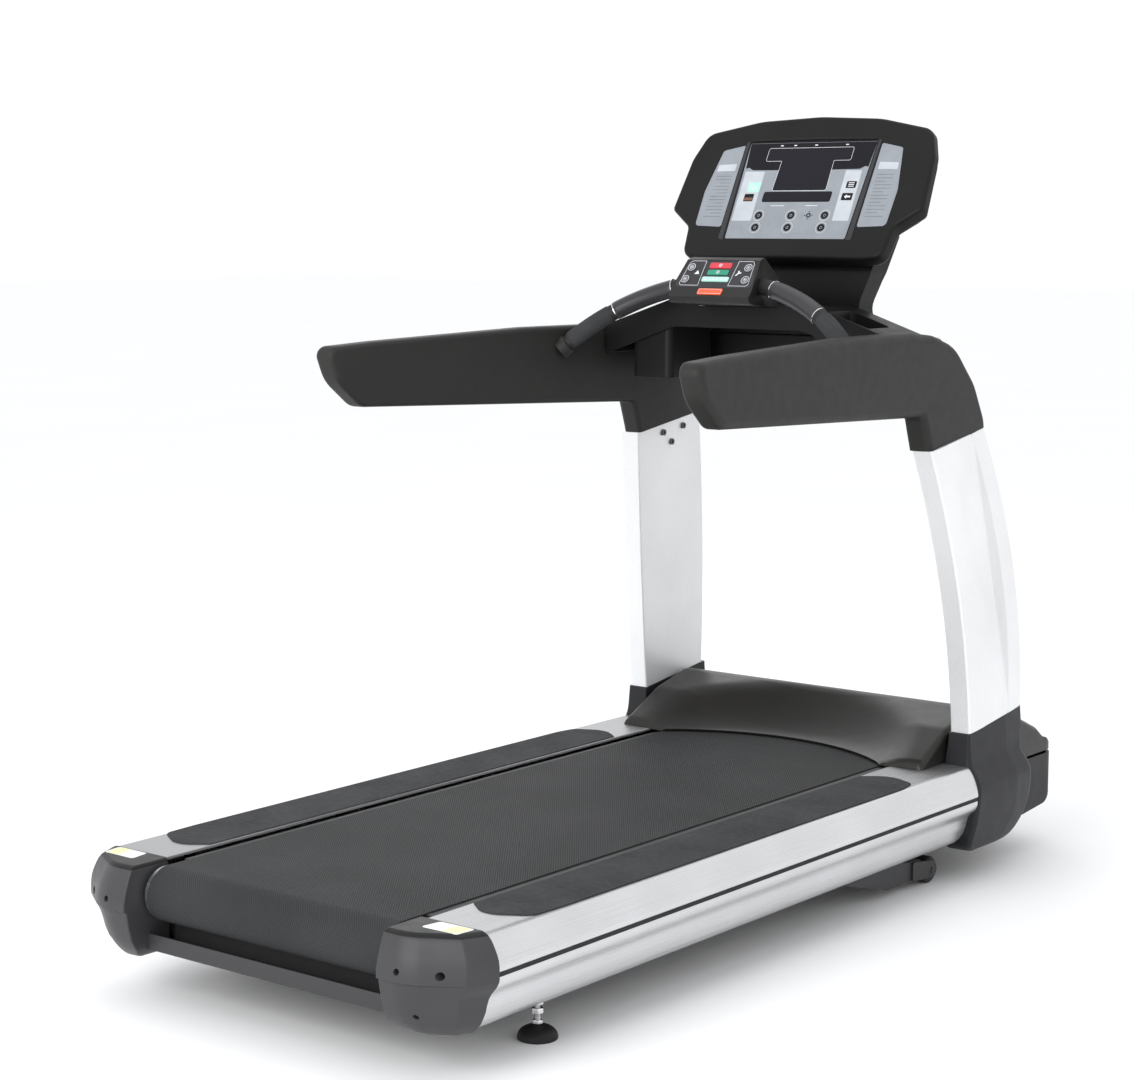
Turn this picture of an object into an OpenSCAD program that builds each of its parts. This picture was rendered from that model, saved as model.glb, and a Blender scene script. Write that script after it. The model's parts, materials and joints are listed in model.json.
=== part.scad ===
// Commercial treadmill: walking deck, drive, incline lift, uprights, handrails and console.
// X runs across the machine, +Y is the way the runner faces, +Z is up.
// The origin is on the floor, under the centre of the machine.

/* [Overall] */
// Length from the rear caps to the front bumper
total_len = 2100; // [2090:5:2110]
// Height of the step-on rails above the floor
deck_z = 251; // [249:1:253]
// Half of the width over the side rails
rail_half = 467; // [465:1:469]

/* [Running belt and rollers] */
// Width of the running belt
belt_w = 560; // [540:5:564]
// Thickness of the running belt
belt_t = 2.5; // [2:0.1:2.6]
// Radius of the front roller
roller_r = 39.2; // [38:0.1:39.4]
// Radius of the rear roller
rear_roller_r = 47.2; // [46:0.1:48]
// Height of the front roller axle
roller_z = 205; // [204:0.5:205]
// Radius of the fixed roller axles
axle_r = 10; // [9:0.5:11]

/* [Drive] */
// Radius of the ribbed pulley on the front roller
roller_pulley_r = 58; // [54:1:60]
// Radius of the ribbed pulley on the motor
motor_pulley_r = 26; // [24:1:28]

/* [Incline lift] */
// Radius of the lift wheels
lift_wheel_r = 28; // [27:0.5:28]
// Length of the lever that the lift screw pulls
lift_lever_len = 55; // [52:1:56]

/* [Feet] */
// Radius of the rubber foot pads
foot_r = 35; // [30:1:38]

/* [Uprights and handrails] */
// Thickness of the uprights across the machine
upright_t = 46; // [44:1:48]
// Thickness of the handrail arms
arm_t = 50; // [46:1:52]
// Radius of the bar between the handrails
bar_r = 17; // [15:0.5:18]

/* [Console] */
// Lean of the console face away from upright
console_lean = 28.8; // [26:0.2:31]
// Depth of the console housing
console_depth = 72; // [68:1:74]

/* [Keys] */
// Height of the keys above their panel
key_proud = 1.6; // [1.2:0.1:2]
// Gap around each key
key_gap = 0.4; // [0.3:0.1:0.6]

/* [Hidden] */
$fn = 64;

rear_y = -total_len / 2;
front_y = total_len / 2;
wall = 4;

// rollers and belt
rear_roller_y = rear_y + 93;
front_roller_y = 700;
loop_r = roller_r + 0.3;
rear_loop_r = rear_roller_r + 0.3;
rear_roller_z = roller_z + roller_r - rear_roller_r;
drum_half = 290;
frame_in = 335;
frame_out = 375;
frame_top = 222;
frame_low = 140;
tray_z = 126;
beam_y = [rear_y + 60, rear_y + 130];
beam_low = 98;
beam_top = 127;

// rails and caps
cap_in = 298;
cap_front = rear_y + 110;
rail_in = 310;
rail_front = 595;
pad_t = 2;

// uprights
seam_rear = [605, 318];
seam_front = [821, 347];
top_rear = [508, 908];
top_front = [731, 943];
lean_in = 0.0001408;
lean_from = 330;
upright_x = 416.5;
tenon_y = [640, 800];
tenon_drop = 150;

// drive
pulley_x = [297, 321];
motor_y = 870;
motor_z = 215;
motor_r = 68;

// lift
lift_x = 358;
lift_shaft_r = 12;
lift_pivot = [230, 92];
lift_wheel_y = 568;
lift_screw_x = -230;
lift_screw_z = 144;
lift_lever_tilt = 18;
lift_pin_y = lift_pivot.x - lift_lever_len * sin(lift_lever_tilt);

// feet
foot_x = 357;
foot_y = -709;

// console and activity panel places: [y, z] of the lower edge of each face
console_at = [535, 1303];
bezel_t = 24;
activity_at = [290, 1234];
activity_lean = 37.5;
panel_t = 2;

// ---- helpers ----

function unit(v) = v / norm(v);

// Points of one rounded corner at q, between p and s.
function corner(p, q, s, r, n) =
    r <= 0 ? [q] :
    let (
        a = unit(p - q),
        b = unit(s - q),
        half = acos(max(-1, min(1, a * b))) / 2,
        c = q + unit(a + b) * r / sin(half),
        from = q + a * r / tan(half) - c,
        to = q + b * r / tan(half) - c,
        a0 = atan2(from.y, from.x),
        turn = atan2(from.x * to.y - from.y * to.x, from * to)
    )
    [for (i = [0:n]) c + r * [cos(a0 + turn * i / n), sin(a0 + turn * i / n)]];

// Outline with rounded corners from a list of [x, y, corner radius].
function rounded(pts, n = 5) =
    let (m = len(pts))
    [for (i = [0:m - 1]) each corner(
        [pts[(i + m - 1) % m].x, pts[(i + m - 1) % m].y],
        [pts[i].x, pts[i].y],
        [pts[(i + 1) % m].x, pts[(i + 1) % m].y],
        pts[i][2], n)];

// Both halves of an outline that is symmetric about x = 0, from its right half.
function both_sides(pts) =
    concat(pts, [for (i = [len(pts) - 1:-1:0]) [-pts[i].x, pts[i].y, pts[i][2]]]);

// Outline in the Y-Z plane, extruded from x0 to x1.
module along_x(pts, x0, x1) {
    translate([x0, 0, 0]) rotate([90, 0, 90]) linear_extrude(x1 - x0) polygon(pts);
}

// Outline in the X-Z plane, extruded from y0 to y1.
module along_y(pts, y0, y1) {
    translate([0, y1, 0]) rotate([90, 0, 0]) linear_extrude(y1 - y0) polygon(pts);
}

// Outline in the X-Y plane, extruded from z0 to z1.
module along_z(pts, z0, z1) {
    translate([0, 0, z0]) linear_extrude(z1 - z0) polygon(pts);
}

module block(x, y, z) {
    translate([x[0], y[0], z[0]]) cube([x[1] - x[0], y[1] - y[0], z[1] - z[0]]);
}

// Cylinder along X from x0 to x1, centred on [y, z].
module rod_x(r, x0, x1, at) {
    translate([x0, at.x, at.y]) rotate([0, 90, 0]) cylinder(r = r, h = x1 - x0);
}

// Cylinder along Y from y0 to y1, centred on [x, z].
module rod_y(r, y0, y1, at) {
    translate([at.x, y1, at.y]) rotate([90, 0, 0]) cylinder(r = r, h = y1 - y0);
}

module rod_z(r, z0, z1, at) {
    translate([at.x, at.y, z0]) cylinder(r = r, h = z1 - z0);
}

module both() {
    children();
    mirror([1, 0, 0]) children();
}

module left() {
    mirror([1, 0, 0]) children();
}

// Flat outline of a belt around two pulleys: centres a and b, radii ra and rb.
module belt_outline(a, ra, b, rb) {
    along = unit(b - a);
    across = [-along.y, along.x];
    off = (ra - rb) / norm(b - a);
    up = across * sqrt(1 - off * off) + along * off;
    down = -across * sqrt(1 - off * off) + along * off;
    translate(a) circle(r = ra, $fn = 96);
    translate(b) circle(r = rb, $fn = 96);
    polygon([a + up * ra, a + down * ra, b + down * rb, b + up * rb]);
}

// Closed belt of thickness t, from x0 to x1, around two pulleys in the Y-Z plane.
module belt_ring(a, ra, b, rb, t, x0, x1) {
    translate([x0, 0, 0]) rotate([90, 0, 90]) linear_extrude(x1 - x0) difference() {
        belt_outline(a, ra + t, b, rb + t);
        belt_outline(a, ra, b, rb);
    }
}

// ---- frame ----

module frame_tube() {
    difference() {
        block([frame_in, frame_out], [rear_y + 65, 990], [frame_low, frame_top]);
        block([frame_in + 3, frame_out - 3], [rear_y + 60, 1000], [frame_low + 3, frame_top - 3]);
        rod_x(axle_r + 0.5, frame_in - 5, frame_out + 5, [rear_roller_y, rear_roller_z]);
        rod_x(axle_r + 0.5, frame_in - 5, frame_out + 5, [front_roller_y, roller_z]);
        rod_z(6.5, frame_low - 5, frame_low + 8, [foot_x, foot_y]);
    }
}

module cross_member(y, z0, z1) {
    difference() {
        block([-frame_in, frame_in], [y - 20, y + 20], [z0, z1]);
        block([-frame_in - 1, frame_in + 1], [y - 17, y + 17], [z0 - 1, z1 - 3]);
    }
}

module lift_hanger() {
    difference() {
        along_x(rounded([[205, frame_low + 2, 0], [255, frame_low + 2, 0], [252, 74, 18], [208, 74, 18]]),
            frame_in - 2, frame_in + 6);
        rod_x(lift_shaft_r + 0.05, frame_in - 4, frame_in + 8, lift_pivot);
    }
}

module main_frame() color("dimgray") {
    both() frame_tube();
    for (y = [-690, -240, 150, 520]) cross_member(y, 176, 206);
    cross_member(960, 125, 170);
    // channel-shaped rear cross beam, seen under the tail of the belt
    block([-frame_in, frame_in], [beam_y[0], beam_y[0] + wall], [beam_low, beam_top]);
    block([-frame_in, frame_in], beam_y, [beam_low, beam_low + wall]);
    block([-frame_in, frame_in], [beam_y[1] - wall, beam_y[1]], [beam_low, beam_top + 8]);
    both() block([frame_in - wall, frame_out], [beam_y[0], rear_y + 100], [beam_low, frame_low]);
    // motor tray, open around the lift motor
    difference() {
        union() {
            block([-frame_in, frame_in], [770, 940], [tray_z, tray_z + 4]);
            both() block([frame_in - 3, frame_in + 2], [770, 940], [tray_z, frame_low + 2]);
        }
        block([lift_screw_x - 46, lift_screw_x + 46], [792, 950], [tray_z - 5, tray_z + 10]);
    }
    // seats for the side rails
    for (y = [-820:400:380]) both() block([frame_in + 5, frame_out - 5], [y - 15, y + 15],
        [frame_top - 1, deck_z - wall]);
    both() lift_hanger();
    // boot brackets that carry the uprights
    both() block([frame_out, 384], [650, 790], [150, 211]);
}

// ---- side rails ----

rail_skin = [
    [rail_half - 22, deck_z - 3], [rail_half - 12, deck_z - 18], [rail_half - 5, deck_z - 34],
    [rail_half - 1, deck_z - 48], [rail_half, deck_z - 57], [rail_half, 191],
    [rail_half - 3, 191], [rail_half - 3, 183], [rail_half - 0.5, 183], [rail_half - 2, 173],
    [rail_half - 6, 163], [rail_half - 17, 153], [rail_half - 23, 144], [rail_half - 26, 134],
    [rail_half - 30, 120], [rail_half - 39, 102], [rail_half - 52, 89], [rail_half - 61, 84]
];
rail_top = [[rail_in, deck_z], [rail_half - 31, deck_z]];
rail_inner = [for (i = [len(rail_skin) - 1:-1:0])
    [rail_skin[i].x - wall - 1, min(rail_skin[i].y, deck_z - wall)]];

module side_rail() {
    along_y(concat(rail_top, rail_skin, rail_inner, [[rail_in, deck_z - wall]]),
        cap_front, rail_front);
}

module side_rail_right() color("gainsboro") side_rail();
module side_rail_left() color("gainsboro") left() side_rail();

module rail_strips() color("black") both()
    block([rail_half - 3, rail_half - 0.6], [cap_front, rail_front], [183.2, 190.8]);

pad_rear_y = -846;
pad_front_y = 416;
pad_in = rail_in + 3;
pad_out = rail_half - 27;
pad_outline = rounded([
    [pad_in, pad_rear_y + 12, 4], [pad_in + 52, pad_rear_y - 30, 60],
    [pad_out - 3, pad_rear_y + 16, 26], [pad_out, pad_rear_y + 90, 50],
    [pad_out, pad_front_y - 70, 50], [pad_out - 7, pad_front_y - 18, 26],
    [pad_in + 52, pad_front_y + 14, 60], [pad_in, pad_front_y - 26, 4]
], 8);

module grip_pads() color("darkslategray") both()
    along_z(pad_outline, deck_z, deck_z + pad_t);

// ---- rear caps ----

cap_section = [
    [cap_in, deck_z + 3], [rail_half - 30, deck_z + 3], [rail_half - 18, deck_z - 2],
    [rail_half - 8, deck_z - 20], [rail_half, deck_z - 42], [rail_half + 2, 200],
    [rail_half + 2, 182], [rail_half - 2, 166], [rail_half - 15, 153], [rail_half - 22, 142],
    [rail_half - 28, 118], [rail_half - 38, 98], [rail_half - 54, 82], [rail_half - 72, 77],
    [cap_in + 34, 78], [cap_in + 10, 92], [cap_in, 104]
];
cap_side = rounded([
    [cap_front, 60, 0], [cap_front, deck_z + 10, 0], [rear_y + 30, deck_z + 10, 0],
    [rear_y + 20, deck_z - 2, 12], [rear_y + 3, 196, 40], [rear_y, 178, 4], [rear_y + 6, 172, 3],
    [rear_y + 14, 120, 60], [rear_y + 44, 72, 50], [rear_y + 80, 60, 0]
]);
cap_plan = rounded([
    [cap_in - 1, cap_front + 1, 0], [cap_in - 1, rear_y - 1, 0], [cap_in + 62, rear_y - 1, 120],
    [rail_half - 23, rear_y + 57, 12], [rail_half + 4, cap_front + 1, 0]
]);
cap_hollow = [
    [cap_in + 5, cap_front + 1], [cap_in + 5, rear_y + 38], [cap_in + 70, rear_y + 38],
    [rail_half - 34, rear_y + 84], [rail_half - 20, cap_front + 1]
];
cap_low_hollow = [
    [cap_in + 5, cap_front + 1], [cap_in + 5, rear_y + 54], [cap_in + 72, rear_y + 54],
    [rail_half - 58, rear_y + 84], [rail_half - 54, cap_front + 1]
];
cap_wall = 5;

module cap_solid() {
    intersection() {
        along_y(cap_section, rear_y - 1, cap_front);
        along_x(cap_side, cap_in - 2, rail_half + 6);
        along_z(cap_plan, 50, deck_z + 20);
    }
}

module rear_cap() {
    difference() {
        cap_solid();
        // hollow for the frame tube and the roller bracket, open to the front
        along_z(cap_hollow, 160, deck_z - 6);
        along_z(cap_low_hollow, 90, 161);
        // screw and tension bolt access holes
        rod_y(5, rear_y - 5, rear_y + 40, [cap_in + 45, 194]);
        rod_y(6, rear_y - 5, rear_y + 80, [rail_half - 58, 192]);
        rod_y(4, rear_y - 5, rear_y + 56, [cap_in + 64, 118]);
        // slot that lets the rear cross beam and the axle in
        block([cap_in - 1, cap_in + cap_wall + 1], [rear_y + 55, cap_front + 1], [93, 155]);
        block([cap_in - 1, cap_in + cap_wall + 1], [rear_roller_y - 14, cap_front + 1],
            [rear_roller_z - 14, rear_roller_z + 14]);
    }
}

module rear_cap_right() color("#2b2b2d") rear_cap();
module rear_cap_left() color("#2b2b2d") left() rear_cap();

// ---- deck, rollers and belt ----

deck_top = roller_z + loop_r - 0.3;
deck_bottom = deck_top - 22;

module deck_board() color("#1c1c1e")
    block([-296, 296], [rear_roller_y + 55, front_roller_y - 55], [deck_bottom, deck_top]);

module deck_cushions() color("black")
    for (y = [-690, -240, 150, 520]) both() translate([250, y, 206]) difference() {
        cylinder(r = 17, h = deck_bottom - 206);
        translate([0, 0, -1]) cylinder(r = 5, h = 30);
    }

module roller_axles() color("silver")
    for (at = [[rear_roller_y, rear_roller_z], [front_roller_y, roller_z]])
        rod_x(axle_r, -frame_out + 4, frame_out - 4, at);

module tension_bolts() color("silver") both() {
    rod_y(5, rear_y + 48, rear_roller_y - axle_r, [frame_in + 16, rear_roller_z]);
    translate([frame_in + 16, rear_y + 48, rear_roller_z]) rotate([90, 0, 0])
        cylinder(r = 9, h = 7, $fn = 6);
}

module running_belt() color("#333537")
    belt_ring([rear_roller_y, rear_roller_z], rear_loop_r, [front_roller_y, roller_z], loop_r, belt_t,
        -belt_w / 2, belt_w / 2);

// Drum with end plugs: an outline in radius and length, turned about X.
module drum(r, y, z) {
    translate([0, y, z]) rotate([0, 90, 0]) rotate_extrude($fn = 96) polygon([
        [axle_r + 0.05, -drum_half], [r - 1, -drum_half], [r, -drum_half + 1],
        [r, drum_half - 1], [r - 1, drum_half], [axle_r + 0.05, drum_half],
        [axle_r + 0.05, drum_half - 30], [r - 4, drum_half - 30],
        [r - 4, 30 - drum_half], [axle_r + 0.05, 30 - drum_half]
    ]);
}

// Ribbed pulley with side flanges between x0 and x1, on a bore.
module ribbed_pulley(r, bore, x0, x1, y, z) {
    ribs = 6;
    pitch = (x1 - x0 - 6) / ribs;
    translate([x0, y, z]) rotate([0, 90, 0]) rotate_extrude($fn = 96) polygon(concat(
        [[bore, 0], [r + 4, 0], [r + 4, 3]],
        [for (i = [0:ribs - 1]) each [[r - 1.5, 3 + pitch * i + 0.1], [r, 3 + pitch * (i + 0.5)]]],
        [[r - 1.5, x1 - x0 - 3], [r + 4, x1 - x0 - 3], [r + 4, x1 - x0], [bore, x1 - x0]]));
}

module front_roller() color("silver") {
    drum(roller_r, front_roller_y, roller_z);
    ribbed_pulley(roller_pulley_r, axle_r + 0.05, pulley_x[0], pulley_x[1], front_roller_y, roller_z);
    translate([drum_half, front_roller_y, roller_z]) rotate([0, 90, 0]) difference() {
        cylinder(r = 20, h = pulley_x[0] - drum_half);
        translate([0, 0, -1]) cylinder(r = axle_r + 0.05, h = 20);
    }
}

module rear_roller() color("silver") drum(rear_roller_r, rear_roller_y, rear_roller_z);

// ---- drive ----

module drive_belt() color("black")
    belt_ring([front_roller_y, roller_z], roller_pulley_r + 0.3, [motor_y, motor_z],
        motor_pulley_r + 0.3, 3, pulley_x[0] + 4, pulley_x[1] - 4);

module drive_motor() color("slategray") difference() {
    union() {
        rod_x(motor_r, -130, 190, [motor_y, motor_z]);
        rod_x(motor_r - 18, 190, 215, [motor_y, motor_z]);
        for (x = [-100:25:160]) rod_x(motor_r + 4, x, x + 8, [motor_y, motor_z]);
        block([-100, 160], [motor_y - 60, motor_y + 60], [130, 170]);
    }
    rod_x(12.5, -131, 216, [motor_y, motor_z]);
}

module motor_rotor() color("silver") {
    rod_x(12.45, -190, pulley_x[0], [motor_y, motor_z]);
    ribbed_pulley(motor_pulley_r, 0, pulley_x[0], pulley_x[1], motor_y, motor_z);
    // cooling fan on the free end
    rod_x(22, -175, -140, [motor_y, motor_z]);
    for (a = [0:30:330]) translate([-175, motor_y, motor_z]) rotate([a, 0, 0])
        translate([0, -1.5, 18]) cube([32, 3, 42]);
}

module motor_controller() color("darkgray") {
    block([-150, 150], [958, 962], [171, 240]);
    block([-140, 140], [962, 996], [174, 216]);
    for (x = [-140:20:140]) block([x - 1.5, x + 1.5], [946, 958], [174, 236]);
}

module power_inlet() color("black") difference() {
    block([225, 255], [front_y - 34, front_y - 4], [145, 169]);
    block([228, 252], [front_y - 26, front_y], [148, 166]);
}

// ---- incline lift ----

lift_motor_y = [800, 880];

module lift_motor() color("slategray") {
    block([lift_screw_x - 42, lift_screw_x + 42], lift_motor_y, [108, 186]);
    rod_z(36, 186, 290, [lift_screw_x, 840]);
    rod_y(8, 470, lift_motor_y[0], [lift_screw_x, lift_screw_z]);
    block([lift_screw_x - 12, lift_screw_x + 12], [lift_motor_y[1], 940], [130, 158]);
}

module lift_screw_tube() color("silver") {
    difference() {
        rod_y(13, lift_pin_y + 38, 745, [lift_screw_x, lift_screw_z]);
        rod_y(9, lift_pin_y + 50, 735, [lift_screw_x, lift_screw_z]);
        rod_y(8.05, 730, 750, [lift_screw_x, lift_screw_z]);
    }
    block([lift_screw_x - 15, lift_screw_x + 15], [lift_pin_y + 28, lift_pin_y + 40],
        [lift_screw_z - 13, lift_screw_z + 13]);
    for (s = [-1, 1]) translate([lift_screw_x + s * 12.5, 0, 0]) difference() {
        block([-2.5, 2.5], [lift_pin_y - 14, lift_pin_y + 30], [lift_screw_z - 13, lift_screw_z + 13]);
        rod_x(6, -5, 5, [lift_pin_y, lift_screw_z]);
    }
}

lift_arm_outline = rounded([
    [lift_pivot.x - 22, lift_pivot.y - 6, 14], [lift_pivot.x - 16, lift_pivot.y + 18, 14],
    [lift_pivot.x + 34, lift_pivot.y + 14, 20], [470, 62, 20], [530, 58, 6], [530, 22, 6],
    [400, 20, 20], [lift_pivot.x + 10, lift_pivot.y - 30, 16]
]);

module lift_arm() {
    along_x(lift_arm_outline, lift_x - 15, lift_x + 15);
    for (s = [-1, 1]) difference() {
        along_x(rounded([[490, 60, 5], [490, 20, 5], [575, 12, 16], [588, 28, 14], [578, 48, 14]]),
            lift_x + s * 17.5 - 2.5, lift_x + s * 17.5 + 2.5);
        rod_x(7, lift_x - 25, lift_x + 25, [lift_wheel_y, lift_wheel_r]);
    }
    rod_x(7, lift_x - 22, lift_x + 22, [lift_wheel_y, lift_wheel_r]);
}

module lift_lever() {
    translate([lift_screw_x - 5, lift_pivot.x, lift_pivot.y]) rotate([lift_lever_tilt, 0, 0]) difference() {
        union() {
            translate([0, -10, 0]) cube([10, 20, lift_lever_len]);
            translate([0, 0, lift_lever_len]) rotate([0, 90, 0]) cylinder(r = 10, h = 10);
        }
        translate([-1, 0, lift_lever_len]) rotate([0, 90, 0]) cylinder(r = 6, h = 12);
    }
}

module lift_frame() color("#1c1c1e") {
    both() lift_arm();
    difference() {
        union() {
            rod_x(20, -frame_in + 8, frame_in - 8, lift_pivot);
            rod_x(lift_shaft_r, -lift_x - 15, lift_x + 15, lift_pivot);
            lift_lever();
        }
        rod_x(8, -lift_x - 20, lift_x + 20, lift_pivot);
    }
    // cross tube that ties the two arms together
    block([-lift_x + 14, lift_x - 14], [440, 470], [28, 58]);
}

module lift_wheel() {
    translate([lift_x - 14, lift_wheel_y, lift_wheel_r]) rotate([0, 90, 0]) rotate_extrude()
        polygon([[7.05, 0], [lift_wheel_r - 3, 0], [lift_wheel_r, 3], [lift_wheel_r, 25],
            [lift_wheel_r - 3, 28], [7.05, 28]]);
}

module lift_wheel_right() color("black") lift_wheel();
module lift_wheel_left() color("black") left() lift_wheel();

// ---- levelling feet ----

module levelling_foot() {
    translate([foot_x, foot_y, 0]) rotate_extrude() polygon([
        [0, 0], [foot_r, 0], [foot_r, 4], [foot_r - 3, 10], [foot_r - 10, 17], [foot_r - 20, 22],
        [8, 25], [8, 34], [6, 36], [6, frame_low + 30], [0, frame_low + 30]
    ]);
    // lock nut and adjusting nut
    translate([foot_x, foot_y, 44]) cylinder(r = 11, h = 10, $fn = 6);
    translate([foot_x, foot_y, 60]) cylinder(r = 11, h = 10, $fn = 6);
}

module levelling_foot_right() color("black") levelling_foot();
module levelling_foot_left() color("black") left() levelling_foot();

// ---- hood and front covers ----

hood_low = 214;
hood_rim = 346;
scoop_r = 437;
scoop_rim_r = 560;
hood_rear_y = 610;

hood_side = rounded([
    [498, deck_z + 1, 0], [505, deck_z + 14, 6], [620, 320, 60], [735, hood_rim + 3, 60],
    [845, 322, 60], [front_y - 86, 272, 60], [front_y - 26, 228, 24],
    [front_y, hood_low + 4, 3], [front_y - 2, hood_low, 0], [498, hood_low, 0]
]);
hood_plan = both_sides([
    [384, 505, 8], [384, 850, 4], [408, 860, 10], [407, front_y - 8, 36], [250, front_y, 200]
]);
// radial section of the concave ramp that rises from the belt
scoop_outline = concat(
    [[0, deck_z + 2], [scoop_r, deck_z + 2]],
    [for (i = [1:6]) let (t = i / 6)
        [scoop_r + (scoop_rim_r - scoop_r) * t, deck_z + 4 + (hood_rim - deck_z - 2) * pow(t, 1.5)]],
    [[scoop_rim_r, hood_rim + 20], [0, hood_rim + 20]]);

module hood_blank(inset) {
    intersection() {
        along_x([for (p = hood_side) [p.x, p.y - inset]], -410 + inset, 410 - inset);
        along_z([for (p = rounded(hood_plan, 6)) p * (1 - inset / 500)], hood_low - 10, 400);
    }
}

module scoop(inset) {
    intersection() {
        translate([0, hood_rear_y - scoop_r, -inset]) rotate_extrude($fn = 180) polygon(scoop_outline);
        along_z([for (p = both_sides([[292, 400, 0], [288, 530, 0], [262, 730, 0], [262, 760, 0]]))
            [p.x, p.y]], 100, 500);
    }
}

module motor_hood() color("#2a2b2d") {
    difference() {
        hood_blank(0);
        difference() {
            hood_blank(wall);
            translate([0, 0, -wall]) scoop(0);
            block([-400, 400], [400, 520], [100, 400]);
        }
        scoop(0);
        // opening over the belt and the landings
        block([-296, 296], [400, hood_rear_y - 110], [100, 500]);
        block([-500, 500], [400, rail_front], [100, deck_z + pad_t - 1.5]);
        translate([0, hood_rear_y - scoop_r, hood_low - 10]) cylinder(r = scoop_r, h = 50, $fn = 180);
        block([-340, 340], [hood_rear_y, 720], [hood_low - 10, deck_z + 1]);
    }
}

bumper_side = rounded([
    [852, 92, 10], [852, hood_low - 6, 0], [front_y - 4, hood_low - 6, 4], [front_y, 180, 30],
    [front_y - 8, 128, 40], [front_y - 50, 97, 30], [900, 88, 20]
]);
bumper_plan = both_sides([[408, 850, 4], [408, front_y - 8, 36], [250, front_y, 200]]);

module bumper_blank(inset) {
    intersection() {
        along_x([for (p = bumper_side) [p.x - inset, p.y + inset]], -412 + inset, 412 - inset);
        along_z([for (p = rounded(bumper_plan, 6)) p * (1 - inset / 500)], 60, 300);
    }
}

module front_bumper() color("#242527") {
    difference() {
        bumper_blank(0);
        bumper_blank(wall);
        block([-380, 380], [840, 1000], [110, 300]);
        block([224.8, 255.2], [front_y - 40, front_y + 5], [144.8, 169.2]);
    }
}

module belly_pan() color("#1d1d1f") difference() {
    block([-332, 332], [600, 935], [tray_z - 4, tray_z]);
    for (x = [-100:100:300]) block([x - 30, x + 30], [700, 706], [tray_z - 10, tray_z + 5]);
    block([lift_screw_x - 60, lift_screw_x + 60], [780, 940], [tray_z - 10, tray_z + 5]);
}

// ---- boots ----

seam_slope = (seam_front.y - seam_rear.y) / (seam_front.x - seam_rear.x);
function seam_z(y) = seam_rear.y + (y - seam_rear.x) * seam_slope;
boot_side = rounded([
    [rail_front, 84, 8], [rail_front, deck_z + 4, 0], [seam_rear.x - 4, seam_z(seam_rear.x - 4), 0],
    [seam_front.x + 11, seam_z(seam_front.x + 11), 0], [840, 250, 60], [847, 190, 60], [846, 128, 60],
    [792, 62, 60], [660, 62, 60]
], 6);
boot_section = rounded([
    [384.5, 60, 0], [440, 60, 18], [458, 100, 40], [rail_half + 2, 165, 50], [rail_half + 3, 208, 30],
    [447, 254, 30], [upright_x + upright_t / 2 + 3, 300, 60], [upright_x + upright_t / 2 + 2, 360, 0],
    [384.5, 360, 0]
]);
boot_inner = 384.5;

module boot() {
    difference() {
        intersection() {
            along_x(boot_side, boot_inner, rail_half + 6);
            along_y(boot_section, 590, 860);
        }
        // socket for the foot of the upright
        block([upright_x - upright_t / 2 + 3.6, upright_x + upright_t / 2 - 3.6],
            [tenon_y[0] - 0.4, tenon_y[1] + 0.4], [tenon_drop - 0.4, 400]);
    }
}

module boot_right() color("#2b2c30") boot();
module boot_left() color("#2b2c30") left() boot();

// ---- uprights ----

function upright_mid(z) = upright_x - lean_in * pow(z - lean_from, 2);
function bow(a, b, depth, t) = a + (b - a) * t + [depth * 4 * t * (1 - t), 0];

upright_steps = 10;
seam_gap = [0, 0.2];
rear_bow = 13;
front_bow = 27;

// Side view of the upright between two pairs of end points.
function upright_side(rear_a, rear_b, front_a, front_b) = concat(
    [for (i = [0:upright_steps]) bow(rear_a, rear_b, rear_bow, i / upright_steps)],
    [for (i = [upright_steps:-1:0]) bow(front_a, front_b, front_bow, i / upright_steps)]);

module leaning_slab(t, z0, z1) {
    zs = [for (i = [0:upright_steps]) z0 + (z1 - z0) * i / upright_steps];
    along_y(concat(
        [for (z = zs) [upright_mid(z) - t / 2, z]],
        [for (i = [upright_steps:-1:0]) [upright_mid(zs[i]) + t / 2, zs[i]]]), 400, 1000);
}

module upright() {
    difference() {
        intersection() {
            along_x(upright_side(seam_rear + seam_gap, top_rear, seam_front + seam_gap, top_front),
                300, 480);
            leaning_slab(upright_t, 300, 960);
        }
        upright_hollow();
    }
    tongue(tenon_drop, seam_rear.y + 20, upright_x);
}

// Hollow inside the extrusion, open at the top.
module upright_hollow() {
    intersection() {
        along_x(upright_side(seam_rear + [8, 40], top_rear + [8, 20],
            seam_front + [-8, 20], top_front + [-8, 20]), 300, 480);
        leaning_slab(upright_t - 2 * wall, 300, 980);
    }
}

// Tongue that plugs into the boot.
module tongue(z0, z1, x) {
    block([x - upright_t / 2 + 4, x + upright_t / 2 - 4], tenon_y, [z0, z1]);
}

module upright_right() color("whitesmoke") upright();
module upright_left() color("whitesmoke") left() upright();

// Three socket screws hold each handrail on its upright.
module upright_bolts() color("#202022") both()
    for (at = [[600, 902], [672, 913], [636, 879]]) let (x = upright_mid(at.y) - upright_t / 2)
        difference() {
            rod_x(7, x - 5, x + 12, at);
            rod_x(3.5, x - 6, x - 2, at, $fn = 6);
        }

// ---- handrails ----

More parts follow.
